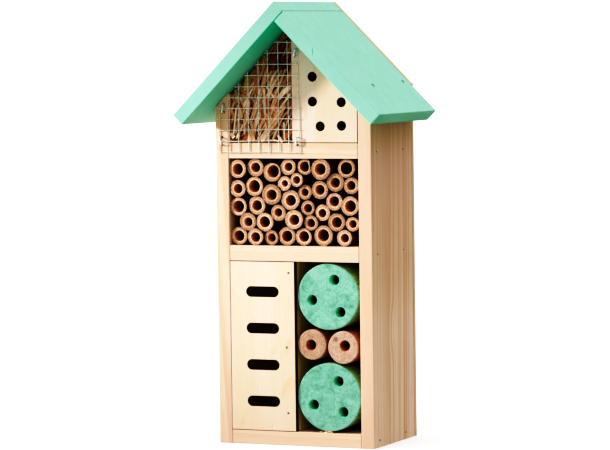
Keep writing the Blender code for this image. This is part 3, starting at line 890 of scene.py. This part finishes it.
def nail_pit(shape, place, outwards, radius, depth):
    """A short ragged cylinder that cuts a nail's pit."""
    profile = [(radius * 1.25, 0.6 * MM), (radius * 1.22, 0.0), (radius, -0.16 * MM),
               (radius * 0.95, -depth)]
    nail_solid(shape, place, outwards, profile, 14, 0.16)


def drive_nails(name, board, places, outwards, radius, look, sink=0.35 * MM):
    """Pits in a board and the nail heads that sit in them."""
    pits = bmesh.new()
    heads = bmesh.new()
    for place in places:
        nail_pit(pits, place, outwards, radius * 1.15, NAIL_REACH + sink)
        nail_head(heads, place, outwards, radius, sink)
    cut_away(board, mesh_from(pits, name + "_pits"), name + "_pits")
    add_piece(name, heads, [look], smooth_to=35)


def make_nails(slot_panel):
    look = steel_look("nail_steel", NAIL_STEEL, 0.9, 41, 0.6, 0.1)
    dark = steel_look("nail_rusty", NAIL_RUSTY, 0.9, 42, 0.6, 0.2)
    for side, node in ((-1, "left_wall"), (1, "right_wall")):
        places = [Vector((side * HALF_WIDTH, FRONT + depth, height))
                  for height in WALL_NAIL_HEIGHTS for depth in WALL_NAIL_DEPTHS]
        drive_nails("nails_" + node, NODES[node], places, (side, 0, 0), NAIL_HEAD_RADIUS, look)
    for side, name in ((-1, "left"), (1, "right")):
        places = [Vector((side * x * MM, FRONT + y * MM, RIDGE.z - x * MM)) for x, y in ROOF_NAILS_MM]
        drive_nails("nails_roof_" + name, NODES["roof_board_" + name], places, (side, 0, 1),
                    ROOF_NAIL_RADIUS, dark, ROOF_NAIL_SINK)
    brad = steel_look("brad_steel", BRAD_STEEL, 0.9, 43, 0.6, 0.1)
    places = [Vector((x * MM, FRONT, z * MM)) for x, z in BRADS_MM]
    drive_nails("brads_slot_panel", slot_panel, places, TO_FRONT, BRAD_HEAD_RADIUS, brad, 0.2 * MM)
    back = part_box("back_panel")[1].y
    places = [Vector((x * MM, back, z * MM)) for x, z in BACK_NAILS_MM]
    drive_nails("nails_back_panel", NODES["back_panel"], places, BACKWARDS,
                NAIL_HEAD_RADIUS, look, 0.1 * MM)


# ---- front panels

def opening_centres(prefix):
    """Where the record's openings of a name lie, across and up."""
    centres = []
    for opening in frame["record"]["physics"]["openings"]:
        if opening["name"].startswith(prefix):
            low, high = opening["box_m"]
            centres.append(((low[0] + high[0]) / 2, (low[2] + high[2]) / 2))
    return centres


def slot_outline(x, z):
    radius = SLOT_HEIGHT / 2
    reach = SLOT_LENGTH / 2 - radius
    points = []
    for end in (1, -1):
        for index in range(17):
            angle = pi * (index / 16 - 0.5)
            points.append((x + end * (reach + radius * cos(angle)), z + end * radius * sin(angle)))
    return points


def make_panels():
    """The slotted panel and the drilled plate, both cut by laser; returns the first for its brads."""
    ply = wood_look("plywood_slot_panel", UP, (-26, 120, 0), 51, 7.5, PANEL_PLY, 0.45, 22.0,
                    knot=((-34, -21, 98), (1, 1, 0.5), 12, 7), relief=0.5)
    plate_ply = wood_look("plywood_gable_plate", UP, (30, 140, 0), 52, 7.0, PLATE_PLY, 0.5, 20.0,
                          relief=0.5)
    char = char_look()
    low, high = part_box("slot_panel")
    outlines = [[(low.x, low.z), (high.x, low.z), (high.x, high.z), (low.x, high.z)]]
    outlines += [slot_outline(x, z) for x, z in opening_centres("butterfly_slot_")]
    panel = cut_sheet("slotted_panel", outlines, low, high, [ply, char], ["slot_panel"])

    low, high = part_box("gable_plate")
    outlines = [[(low.x, low.z), (high.x, low.z), (high.x, roof_under(high.x)), (low.x, high.z)]]
    outlines += [circle(x * MM, z * MM, PLATE_HOLE_RADIUS, 40) for x, z in PLATE_HOLES_MM]
    cut_sheet("drilled_plate", outlines, low, high, [plate_ply, char], ["gable_plate"])
    return panel


# ---- rounds

def round_body(centre, radius, front, back, sides, seed):
    """A sawn round with an uneven outline and a rough face; its side has the second look."""
    length = back - front
    rim = ROUND_EDGE / radius
    # Each ring is a share of the radius, a depth, a roughness in millimetres and a look
    shares = [0.08, 0.17, 0.27, 0.37, 0.47, 0.57, 0.66, 0.75, 0.83, 0.9, 0.95]
    profile = [(share, 0.0, 0.10, 0) for share in shares]
    profile += [(1 - rim, 0.0, 0.08, 0), (1 - 0.3 * rim, 0.3 * ROUND_EDGE, 0.05, 0)]
    profile += [(1.0, ROUND_EDGE, 0.0, 1)]
    profile += [(1.0, length * share, 0.0, 1) for share in (0.06, 0.2, 0.4, 0.6, 0.8)]
    profile += [(1.0, length - ROUND_EDGE, 0.0, 1), (1 - rim, length, 0.0, 1), (0.5, length, 0.05, 1)]
    shape = bmesh.new()
    rings = []
    for share, depth, rough, _ in profile:
        ring = []
        for c, s in around(sides):
            arm = Vector((c, 0, s))
            uneven = 1 - 0.010 * (1 + noise.noise(arm * 1.7 + Vector((seed, depth * 20, 0))))
            uneven -= 0.003 * abs(noise.noise(arm * 9 + Vector((seed, depth * 60, 0))))
            place = Vector((centre.x, front + depth, centre.z)) + arm * radius * share * uneven
            place.y += rough * MM * (noise.noise(place * 420) + 0.6 * noise.noise(place * 1300))
            ring.append(shape.verts.new(place))
        rings.append(ring)
    for index, (near, far) in enumerate(zip(rings, rings[1:])):
        bridge(shape, [near, far], profile[index][3])
    for ring, depth, look in ((rings[0], front, 0), (rings[-1], back, 1)):
        hub = shape.verts.new((centre.x, depth, centre.z))
        for index in range(sides):
            face = shape.faces.new((hub, ring[index], ring[(index + 1) % sides]))
            face.material_index = look
    return shape


def drill_mesh(places, front, radius, depth):
    """Drills that leave a slightly broken rim and a coned bottom, with the third look."""
    profile = [(radius + 0.3 * MM, -1 * MM), (radius + 0.22 * MM, 0.02 * MM), (radius, 0.3 * MM),
               (radius, depth * 0.5), (radius, depth - 1.2 * MM), (0.2 * MM, depth)]
    shape = bmesh.new()
    for x, z in places:
        middle = Vector((x, front, z))
        rings = []
        for size, level in profile:
            places_round = [middle + Vector((across, level, up)) for across, up in around(40, size)]
            rings.append([shape.verts.new(place) for place in places_round])
        close_up(shape, rings, 2)
    return mesh_from(shape, "drills")


def make_round(node, name, looks, sides, seed):
    low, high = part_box(node)
    shape = round_body((low + high) / 2, (high.x - low.x) / 2, low.y, high.y, sides, seed)
    piece = add_piece(name, shape, looks, [node])
    drills = drill_mesh(opening_centres(node + "_hole_"), low.y, ROUND_HOLE_RADIUS, ROUND_HOLE_DEPTH)
    for look in looks:
        drills.materials.append(look)
    settle(piece, cut_away(piece, drills, name + "_drills"))
    shade_round(piece.data, 40)


def make_rounds():
    side = bark_look("mint_log_side", LOG_SIDE, 61)
    # The holes' paint is lighter than the faces': painted light
    hole = bark_look("mint_log_hole", LOG_HOLE, 62, LOG_HOLE_DEEP)
    for node, pith, seed in (("upper_log", (24, 0, 84), 63), ("lower_log", (18, 0, 24), 64)):
        look = log_paint_look("mint_" + node, pith, seed)
        make_round(node, node + "_round", [look, side, hole], 120, seed)
    side = bark_look("bare_round_side", ROUND_SIDE, 65)
    hole = bark_look("bare_round_hole", ROUND_HOLE, 66, ROUND_HOLE_PAINTED_SHADE)
    for node, pith, seed, tint, stain in (
            ("small_round_left", (9, 0, 60), 67, ROUND_LEFT_TINT, None),
            ("small_round_right", (27, 0, 56), 70, ROUND_RIGHT_TINT, (25.0, -20, 62.4))):
        look = round_look(node + "_end_grain", pith, seed, tint, stain)
        make_round(node, node + "_drilled", [look, side, hole], 88, seed)


# ---- canes

def cane_measure(node):
    """Middle, front, back, outer radius and bore radius of a packed cane."""
    low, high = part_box(node)
    middle = (low + high) / 2
    bore = min(hypot(vertex.co.x - middle.x, vertex.co.z - middle.z)
               for vertex in NODES[node].data.vertices)
    return middle, low.y, high.y, (high.x - low.x) / 2, bore


def plain_outline(angle):
    return 1.0


def flat_right(angle):
    return min(1.0, 0.72 / max(0.05, cos(angle - 0.15)))


def notched(angle):
    away = (angle - 3.9 + pi) % (2 * pi) - pi
    return 1 - 0.2 * exp(-(away / 0.22) ** 2)


# Canes that aren't plain: outline, shift of the bore as a share of the wall, and the bore's tone, whose low
# values paint the bore black as shade
ODD_CANES = {
    31: (plain_outline, (0.45, 0.35), 0.6),
    32: (notched, (0.15, 0.0), 0.6),
    35: (flat_right, (-0.1, 0.1), 0.4),
    37: (plain_outline, (0.0, 0.0), 0.0),
}


def room_for(number, measures):
    """How far a cane may reach from its middle at an angle before it meets a neighbour or a board."""
    middle, _, _, radius, _ = measures[number]
    planes = [(0.0, INNER_HALF - middle.x), (pi, INNER_HALF + middle.x),
              (pi / 2, CANE_CEILING - middle.z), (-pi / 2, middle.z - LOWER_SHELF_TOP)]
    for other, (place, _, _, size, _) in measures.items():
        gap = Vector((place.x - middle.x, place.z - middle.z))
        if other != number and gap.length < 2 * (radius + size):
            share = (gap.length ** 2 + radius ** 2 - size ** 2) / (2 * gap.length)
            planes.append((atan2(gap.y, gap.x), share))

    def reach(angle):
        limit = radius * CANE_SPREAD
        for direction, distance in planes:
            facing = cos(angle - direction)
            if facing > 0.2:
                limit = min(limit, (distance - CANE_CLEARANCE) / facing)
        return limit
    return reach


def cane_profile(length):
    """Each ring's share of the wall from the bore outwards, its depth and the look of what follows."""
    bore = [length, length * 0.6, length * 0.3, length * 0.1, 1.6 * MM, 0.35 * MM]
    profile = [(0, depth, BORE) for depth in bore]
    profile += [(share, 0.0, FACE) for share in (0.05, 0.2, 0.38, 0.56, 0.74, 0.9)]
    profile += [(0.97, 0.03 * MM, FACE), (1.0, 0.16 * MM, SKIN)]
    skin = (0.03, 0.08, 0.2, 0.35, 0.5, 0.65, 0.8, 0.92, 1.0)
    return profile + [(1.0, length * share, SKIN) for share in skin]


def make_cane(number, looks, chance, measures):
    node = f"cane_{number:02d}"
    middle, front, back, radius, bore = measures[number]
    reach = room_for(number, measures)
    shift = (chance.uniform(-0.14, 0.14), chance.uniform(-0.14, 0.14))
    outline, shift, bore_shade_tone = ODD_CANES.get(number, (plain_outline, shift, chance.uniform(0.3, 1.0)))
    hole = Vector((shift[0], 0, shift[1])) * (radius - bore)
    length = back - front
    oval = chance.uniform(0.0, 0.035)
    lean = chance.uniform(0, pi)
    slant = Vector((chance.uniform(-0.05, 0.05), chance.uniform(-0.05, 0.05)))
    seed = Vector((number * 3.7, number * 1.3, number * 7.1))
    knuckle = chance.uniform(0.15, 0.9) * length
    tone = chance.uniform(0.25, 1.0)
    profile = cane_profile(length)
    shape = bmesh.new()
    tones = shape.verts.layers.float.new("tone")
    walls = shape.verts.layers.float.new("across_wall")
    rings = []
    for share, depth, kind in profile:
        ring = []
        for index in range(CANE_SIDES):
            angle = 2 * pi * index / CANE_SIDES
            arm = Vector((cos(angle), 0, sin(angle)))
            outer = radius * CANE_SPREAD * (1 - oval * (1 + cos(2 * (angle - lean))) / 2) * outline(angle)
            outer *= 1 + 0.035 * noise.noise(arm * 1.6 + seed) + 0.02 * noise.noise(arm * 5 + seed)
            outer = min(outer, reach(angle))
            if depth > 1 * MM:
                swell = exp(-((depth - knuckle) / KNUCKLE_WIDTH) ** 2)
                outer *= 1 - KNUCKLE_HEIGHT + KNUCKLE_HEIGHT * swell
            inner = bore * (1 + 0.05 * noise.noise(arm * 1.4 + seed * 2)) * (0.5 + 0.5 * outline(angle))
            if kind == BORE:
                inner *= 1 + 0.05 * noise.noise(arm * 4 + seed + Vector((0, depth * 80, 0)))
            place = arm * outer if kind == SKIN else (hole + arm * inner).lerp(arm * outer, share)
            place += Vector((middle.x, front + depth, middle.z))
            if kind == FACE or depth < 0.5 * MM:
                tilt = (place.x - middle.x) * slant.x + (place.z - middle.z) * slant.y
                rough = 0.09 * MM * noise.noise(place * 900)
                place.y += tilt + rough + 0.25 * MM
            vertex = shape.verts.new(place)
            vertex[tones] = bore_shade_tone if kind == BORE else tone
            vertex[walls] = share
            ring.append(vertex)
        rings.append(ring)
    for index, (near, far) in enumerate(zip(rings, rings[1:])):
        kind = profile[index + 1][2] if profile[index][2] == BORE else profile[index][2]
        bridge(shape, [near, far], kind)
    bridge(shape, [rings[-1], rings[0]], FACE)
    add_piece(f"bamboo_cane_{number:02d}", shape, looks, [node], 50)


def make_canes():
    looks = [cane_face_look(), cane_skin_look(), cane_bore_look()]
    chance = random.Random(11)
    measures = {number: cane_measure(f"cane_{number:02d}") for number in range(1, CANES + 1)}
    for number in measures:
        make_cane(number, looks, chance, measures)


# ---- wire mesh and staples

def wire_section(step):
    """A round wire's section, the same at every step."""
    return around(8, MESH_WIRE_RADIUS)


def straight_wire(shape, start, end, sideways):
    """A nearly straight wire between two points, slightly wavy."""
    steps = max(2, round((end - start).length / (1.6 * MM)))
    path = []
    for step in range(steps + 1):
        point = start.lerp(end, step / steps)
        bend = wobble(point, 26 * MM, 0.32 * MM) + wobble(point, 7 * MM, 0.08 * MM)
        bend.y = min(bend.y, 0.0)
        path.append((point + bend, Vector(sideways), Vector(BACKWARDS)))
    sweep(shape, path, wire_section)


def make_wire_mesh():
    """Upright wires against the front, with level wires welded across them."""
    low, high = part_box("wire_mesh")
    left = low.x + MESH_STUB
    bottom = low.z + MESH_STUB
    columns = round((high.x - MESH_STUB - left) / MESH_PITCH) + 1
    rows = round((high.z - MESH_STUB - bottom) / MESH_PITCH) + 1
    upright_y = high.y - MESH_WIRE_RADIUS
    level_y = upright_y - 1.8 * MESH_WIRE_RADIUS
    shape = bmesh.new()
    chance = random.Random(5)
    for column in range(columns):
        x = left + MESH_PITCH * column + chance.uniform(-MESH_UNEVEN_MM, MESH_UNEVEN_MM) * MM
        top = min(high.z, roof_under(x) - MESH_ROOF_GAP)
        start = Vector((x, upright_y, low.z + chance.uniform(0, 0.4) * MM))
        end = Vector((x + chance.uniform(-0.4, 0.4) * MM, upright_y, top))
        straight_wire(shape, start, end, ACROSS)
    for row in range(rows):
        z = bottom + MESH_PITCH * row + chance.uniform(-MESH_UNEVEN_MM, MESH_UNEVEN_MM) * MM
        slope_end = z + MESH_ROOF_GAP - roof_under(0)
        start = Vector((max(low.x, slope_end), level_y, z))
        end = Vector((high.x + chance.uniform(-0.3, 0.0) * MM, level_y, z + chance.uniform(-0.3, 0.5) * MM))
        straight_wire(shape, start, end, UP)
    look = steel_look("galvanised_wire", WIRE_STEEL, 0.15, 71, 0.5, 0.1)
    add_piece("welded_wire_mesh", shape, [look], ["wire_mesh"], 60)


def staple_section(step):
    """A flat wire's section with rounded corners, the same at every step."""
    points = []
    for index in range(12):
        angle = 2 * pi * (index + 0.5) / 12
        c, s = cos(angle), sin(angle)
        points.append((STAPLE_HALF_WIDTH * copysign(abs(c) ** 0.6, c),
                       STAPLE_HALF_THICKNESS * copysign(abs(s) ** 0.6, s)))
    return points


def make_staple(node, look, lean):
    low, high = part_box(node)
    middle = (low + high) / 2
    reach = (high.z - low.z) / 2 - STAPLE_HALF_THICKNESS
    crown_y = low.y + STAPLE_HALF_THICKNESS
    turn = radians(lean)
    sideways = Vector((cos(turn), 0, sin(turn)))
    upward = Vector((-sin(turn), 0, cos(turn)))
    # Each station is a height along the crown, a depth and an angle: up one leg, then its mirror image
    stations = [(-reach, high.y, -90), (-reach, crown_y + STAPLE_BEND, -90)]
    for step in range(1, 5):
        swing = radians(90 * step / 5)
        stations.append((-reach + STAPLE_BEND * (1 - cos(swing)), crown_y + STAPLE_BEND * (1 - sin(swing)),
                         -90 + 90 * step / 5))
    stations += [(-reach + STAPLE_BEND, crown_y, 0), (0, crown_y, 0)]
    stations += [(-height, depth, -angle) for height, depth, angle in reversed(stations[:-1])]
    path = []
    for height, depth, angle in stations:
        tilt = radians(angle)
        outwards = Vector((0, -cos(tilt), 0)) + upward * sin(tilt)
        path.append((Vector((middle.x, depth, middle.z)) + upward * height, sideways, outwards))
    shape = bmesh.new()
    sweep(shape, path, staple_section)
    add_piece(node + "_wire", shape, [look], [node], 50)


def make_staples():
    look = steel_look("staple_steel", STAPLE_STEEL, 0.1, 72, 0.35, 0.35)
    for node, lean in STAPLE_LEANS.items():
        make_staple(node, look, lean)


# ---- wood wool

def strand(shape, tones, points, width, thickness, twist, tone):
    """A flat wooden strand with a rectangular section, twisted along its length."""
    path = []
    last = len(points) - 1
    for index, point in enumerate(points):
        ahead = (points[min(index + 1, last)] - points[max(index - 1, 0)]).normalized()
        sideways = ahead.cross(Vector(TO_FRONT)).normalized()
        outwards = sideways.cross(ahead).normalized()
        angle = twist[0] + twist[1] * index / len(points)
        c, s = cos(angle), sin(angle)
        path.append((point, sideways * c + outwards * s, outwards * c - sideways * s))

    def section(step):
        end = min(step, last - step)
        half = width / 2 * min(1.0, 0.55 + 0.45 * end)
        deep = thickness / 2
        return [(-half, -deep), (half, -deep), (half, deep), (-half, deep)]

    before = len(shape.verts)
    sweep(shape, path, section)
    shape.verts.ensure_lookup_table()
    for index in range(before, len(shape.verts)):
        shape.verts[index][tones] = tone


def strand_points(start, heading, length, curl, chance, inside):
    """A curling path through the wool that stops at the chamber's walls."""
    points = [start]
    direction = heading.normalized()
    turn = Vector((chance.uniform(-1, 1), chance.uniform(-0.5, 0.5), chance.uniform(-1, 1))) * curl
    for _ in range(int(length / STRAND_STEP)):
        sway = wobble(points[-1], 9 * MM, curl * 1.4)
        direction = (direction + turn + sway).normalized()
        after = points[-1] + direction * STRAND_STEP
        if not inside(after):
            break
        points.append(after)
    return points


def bowed(start, end, bow, depth):
    """Points of a shallow arc in the front of the wool, from places given in millimetres."""
    first = Vector((start[0], 0, start[1])) * MM
    last = Vector((end[0], 0, end[1])) * MM
    across = (last - first).cross(Vector(TO_FRONT)).normalized()
    points = []
    for index in range(9):
        share = index / 8
        point = first.lerp(last, share) + across * bow * MM * sin(pi * share)
        point.y = FRONT + (depth + 0.5 * sin(4 * share)) * MM
        points.append(point)
    return points


def lay_strands(shape, tones, chance, low, high):
    """The loose strands, in layers painted darker with depth as shade, round a dark hollow near the top."""
    left = low.x - 0.6 * MM
    right = high.x + 0.5 * MM
    foot = low.z - 0.6 * MM
    nearest = FRONT + 0.6 * MM

    def inside(point):
        away = point - WOOL_HOLLOW
        clear = sum((part / reach) ** 2 for part, reach in zip(away, WOOL_HOLLOW_REACH))
        return (left < point.x < right and foot < point.z < roof_under(point.x) - 1.0 * MM
                and nearest < point.y < high.y and clear > 1)

    for count, near, far, middle_tone in WOOL_LAYERS:
        for _ in range(count):
            x = chance.uniform(left, right)
            z = chance.uniform(foot - 8 * MM, roof_under(x) - 1 * MM)
            z = max(z, foot + 0.5 * MM)
            start = Vector((x, FRONT + chance.uniform(near, far) * MM, z))
            angle = radians(chance.gauss(*STRAND_LEAN))
            if chance.random() < COUNTER_STRANDS:
                angle = radians(chance.gauss(*COUNTER_LEAN))
            heading = Vector((cos(angle), chance.uniform(-0.1, 0.1), sin(angle)))
            if not inside(start):
                continue
            length = chance.uniform(*STRAND_LENGTHS_MM) * MM
            points = strand_points(start, heading, length, chance.uniform(0.0, 0.05), chance, inside)
            if len(points) < 5:
                continue
            widths = WIDE_STRANDS_MM if chance.random() < WIDE_STRANDS else NARROW_STRANDS_MM
            width = chance.uniform(*widths) * MM
            tone = chance.gauss(middle_tone, 0.17)
            # Painted shade: the strands near the top are darker
            if z > WOOL_CREST:
                tone -= CREST_PAINTED_SHADE
                width = min(width, CREST_WIDTH)
            if z < foot + PALE_FOOT and chance.random() < PALE_STRANDS:
                tone = chance.uniform(*PALE_TONES)
            tone = min(1.0, max(0.0, tone))
            twist = (chance.uniform(-0.5, 0.5), chance.uniform(-0.7, 0.7))
            thickness = chance.uniform(*STRAND_THICKNESSES_MM) * MM
            strand(shape, tones, points, width, thickness, twist, tone)


def make_wood_wool():
    """Loose strands of all sizes, most of them steep, and the few that stand out at the front."""
    low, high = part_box("wood_wool")
    shape = bmesh.new()
    tones = shape.verts.layers.float.new("tone")
    lay_strands(shape, tones, random.Random(29), low, high)
    for start, end, bow, width, depth, tone in WOOL_FRONT_MM:
        strand(shape, tones, bowed(start, end, bow, depth), width * MM, 0.25 * MM, (0.2, 0.3), tone)
    add_piece("wood_wool_strands", shape, [wool_look()], ["wood_wool"])


def make_stray_shavings():
    """A few pale curls on the base board, in front of the lower log."""
    chance = random.Random(8)
    shape = bmesh.new()
    tones = shape.verts.layers.float.new("tone")
    for index in range(SHAVINGS):
        x = SHAVINGS_FROM + (index * 1.1 + chance.uniform(-0.6, 0.6)) * MM
        points = [Vector((x, FRONT + chance.uniform(0.8, 1.2) * MM, BASE_TOP + 0.3 * MM))]
        heading = Vector((chance.uniform(-1, 1), 0, chance.uniform(0.1, 0.4))).normalized()
        for _ in range(4):
            points.append(points[-1] + heading * 0.5 * MM)
            heading = (heading + Vector((0, 0, -0.22))).normalized()
        strand(shape, tones, points, 0.5 * MM, 0.15 * MM, (0.4, 1.0), 0.95)
    add_piece("stray_shavings", shape, [bpy.data.materials["wood_wool_strands"]])


# ---- hanger

def rounded_corner(x, z, first):
    """Places round a corner of the hanger about its centre, from an angle in degrees onwards."""
    turns = [radians(first + 18 * step) for step in range(6)]
    return [(x + HANGER_CORNER * cos(turn), z + HANGER_CORNER * sin(turn)) for turn in turns]


def make_hanger():
    """The sawtooth strip, with rounded ends, and the two nails that hold it."""
    low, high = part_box("hanger")
    left, right = low.x + HANGER_CORNER, high.x - HANGER_CORNER
    foot, top = low.z + HANGER_CORNER, high.z - HANGER_CORNER
    start = -HANGER_PITCH * HANGER_TEETH / 2
    outline = rounded_corner(left, top, 90) + rounded_corner(left, foot, 180)
    for tooth in range(HANGER_TEETH):
        place = start + HANGER_PITCH * tooth
        notch = low.z + (1.3 + 0.05 * sin(2.1 * tooth)) * MM
        outline.append((place, low.z))
        outline.append((place + HANGER_PITCH / 2 - 0.15 * MM, notch))
        outline.append((place + HANGER_PITCH / 2 + 0.15 * MM, notch))
    outline.append((-start, low.z))
    outline += rounded_corner(right, foot, 270) + rounded_corner(right, top, 0)
    middle_z = (low.z + high.z) / 2
    holes = [circle(side * HANGER_NAIL_REACH, middle_z, HANGER_HOLE_RADIUS, 24) for side in (-1, 1)]
    look = steel_look("hanger_steel", HANGER_STEEL, 0.0, 73, 0.4, 0.6, 7)
    cut_sheet("sawtooth_hanger", [outline] + holes, low, high, [look, look], ["hanger"],
              HANGER_EDGE)
    nails = bmesh.new()
    for side in (-1, 1):
        place = Vector((side * HANGER_NAIL_REACH, high.y, middle_z))
        nail_head(nails, place, BACKWARDS, HANGER_NAIL_RADIUS, -0.25 * MM)
    add_piece("nails_hanger", nails, [bpy.data.materials["nail_steel"]], smooth_to=35)


# ---- stage

def make_floor():
    """A pale floor that sweeps up gently far away, so that it fills every view's background.

    It takes shadows but throws no light back: the even light from below stands for that."""
    shape = bmesh.new()
    rings = []
    for radius, height in FLOOR_PROFILE:
        rings.append([shape.verts.new((across, back, height)) for across, back in around(96, radius)])
    shape.faces.new(rings[0])
    bridge(shape, rings)
    mesh = mesh_from(shape, "floor")
    mesh.flip_normals()
    mesh.materials.append(floor_look())
    mesh.shade_smooth()
    floor = put("floor", mesh)
    floor.visible_diffuse = False
    floor.visible_shadow = False


def add_lamp(name, kind, energy, towards):
    """A lamp that shines from a direction."""
    data = bpy.data.lights.new(name, kind)
    data.energy = energy
    lamp = put(name, data)
    lamp.rotation_mode = "QUATERNION"
    lamp.rotation_quaternion = towards.to_track_quat("Z", "Y")
    return lamp


def light_scene():
    key = add_lamp("key_light", "SPOT", KEY_POWER, KEY_FROM)
    key.location = KEY_TARGET + KEY_FROM.normalized() * KEY_DISTANCE
    key.data.shadow_soft_size = KEY_RADIUS
    key.data.spot_size = KEY_CONE
    key.data.spot_blend = 1.0
    top = add_lamp("top_light", "SUN", TOP_STRENGTH, Vector(UP))
    top.data.angle = TOP_ANGLE
    world = bpy.data.worlds.new("studio")
    bpy.context.scene.world = world
    world.use_nodes = True
    nodes = world.node_tree.nodes
    links = world.node_tree.links
    direction = nodes.new("ShaderNodeTexCoord").outputs["Generated"]
    lean = nodes.new("ShaderNodeVectorMath")
    lean.operation = "DOT_PRODUCT"
    links.new(direction, lean.inputs[0])
    lean.inputs[1].default_value = SKY_LEAN
    total = nodes.new("ShaderNodeMath")
    links.new(lean.outputs["Value"], total.inputs[0])
    total.inputs[1].default_value = SKY_STRENGTH
    backdrop = nodes["Background"]
    backdrop.inputs["Color"].default_value = (1, 1, 1, 1)
    links.new(total.outputs[0], backdrop.inputs["Strength"])


def set_tones():
    """Plain display colours, with the firm contrast of a studio print."""
    settings = bpy.context.scene.view_settings
    settings.view_transform = "Standard"
    settings.use_curve_mapping = True
    curve = settings.curve_mapping.curves[3]
    for raw, shown in TONE_CURVE:
        curve.points.new(raw, shown)
    settings.curve_mapping.update()


def aim_camera():
    data = bpy.data.cameras.new("camera")
    data.lens = CAMERA_LENS
    data.sensor_width = 36
    data.clip_start = 0.05
    data.clip_end = 50
    camera = put("camera", data)
    level = cos(CAMERA_PITCH)
    back = Vector((sin(CAMERA_YAW) * level, -cos(CAMERA_YAW) * level, sin(CAMERA_PITCH)))
    camera.location = CAMERA_TARGET + back * CAMERA_DISTANCE
    camera.rotation_mode = "QUATERNION"
    camera.rotation_quaternion = back.to_track_quat("Z", "Y") @ Quaternion(UP, CAMERA_ROLL)
    bpy.context.scene.camera = camera


aim_camera()
light_scene()
set_tones()
make_floor()
dress_boards()
make_roof_check()
make_ridge_seam()
make_nails(make_panels())
make_rounds()
make_canes()
make_wire_mesh()
make_staples()
make_wood_wool()
make_stray_shavings()
make_hanger()
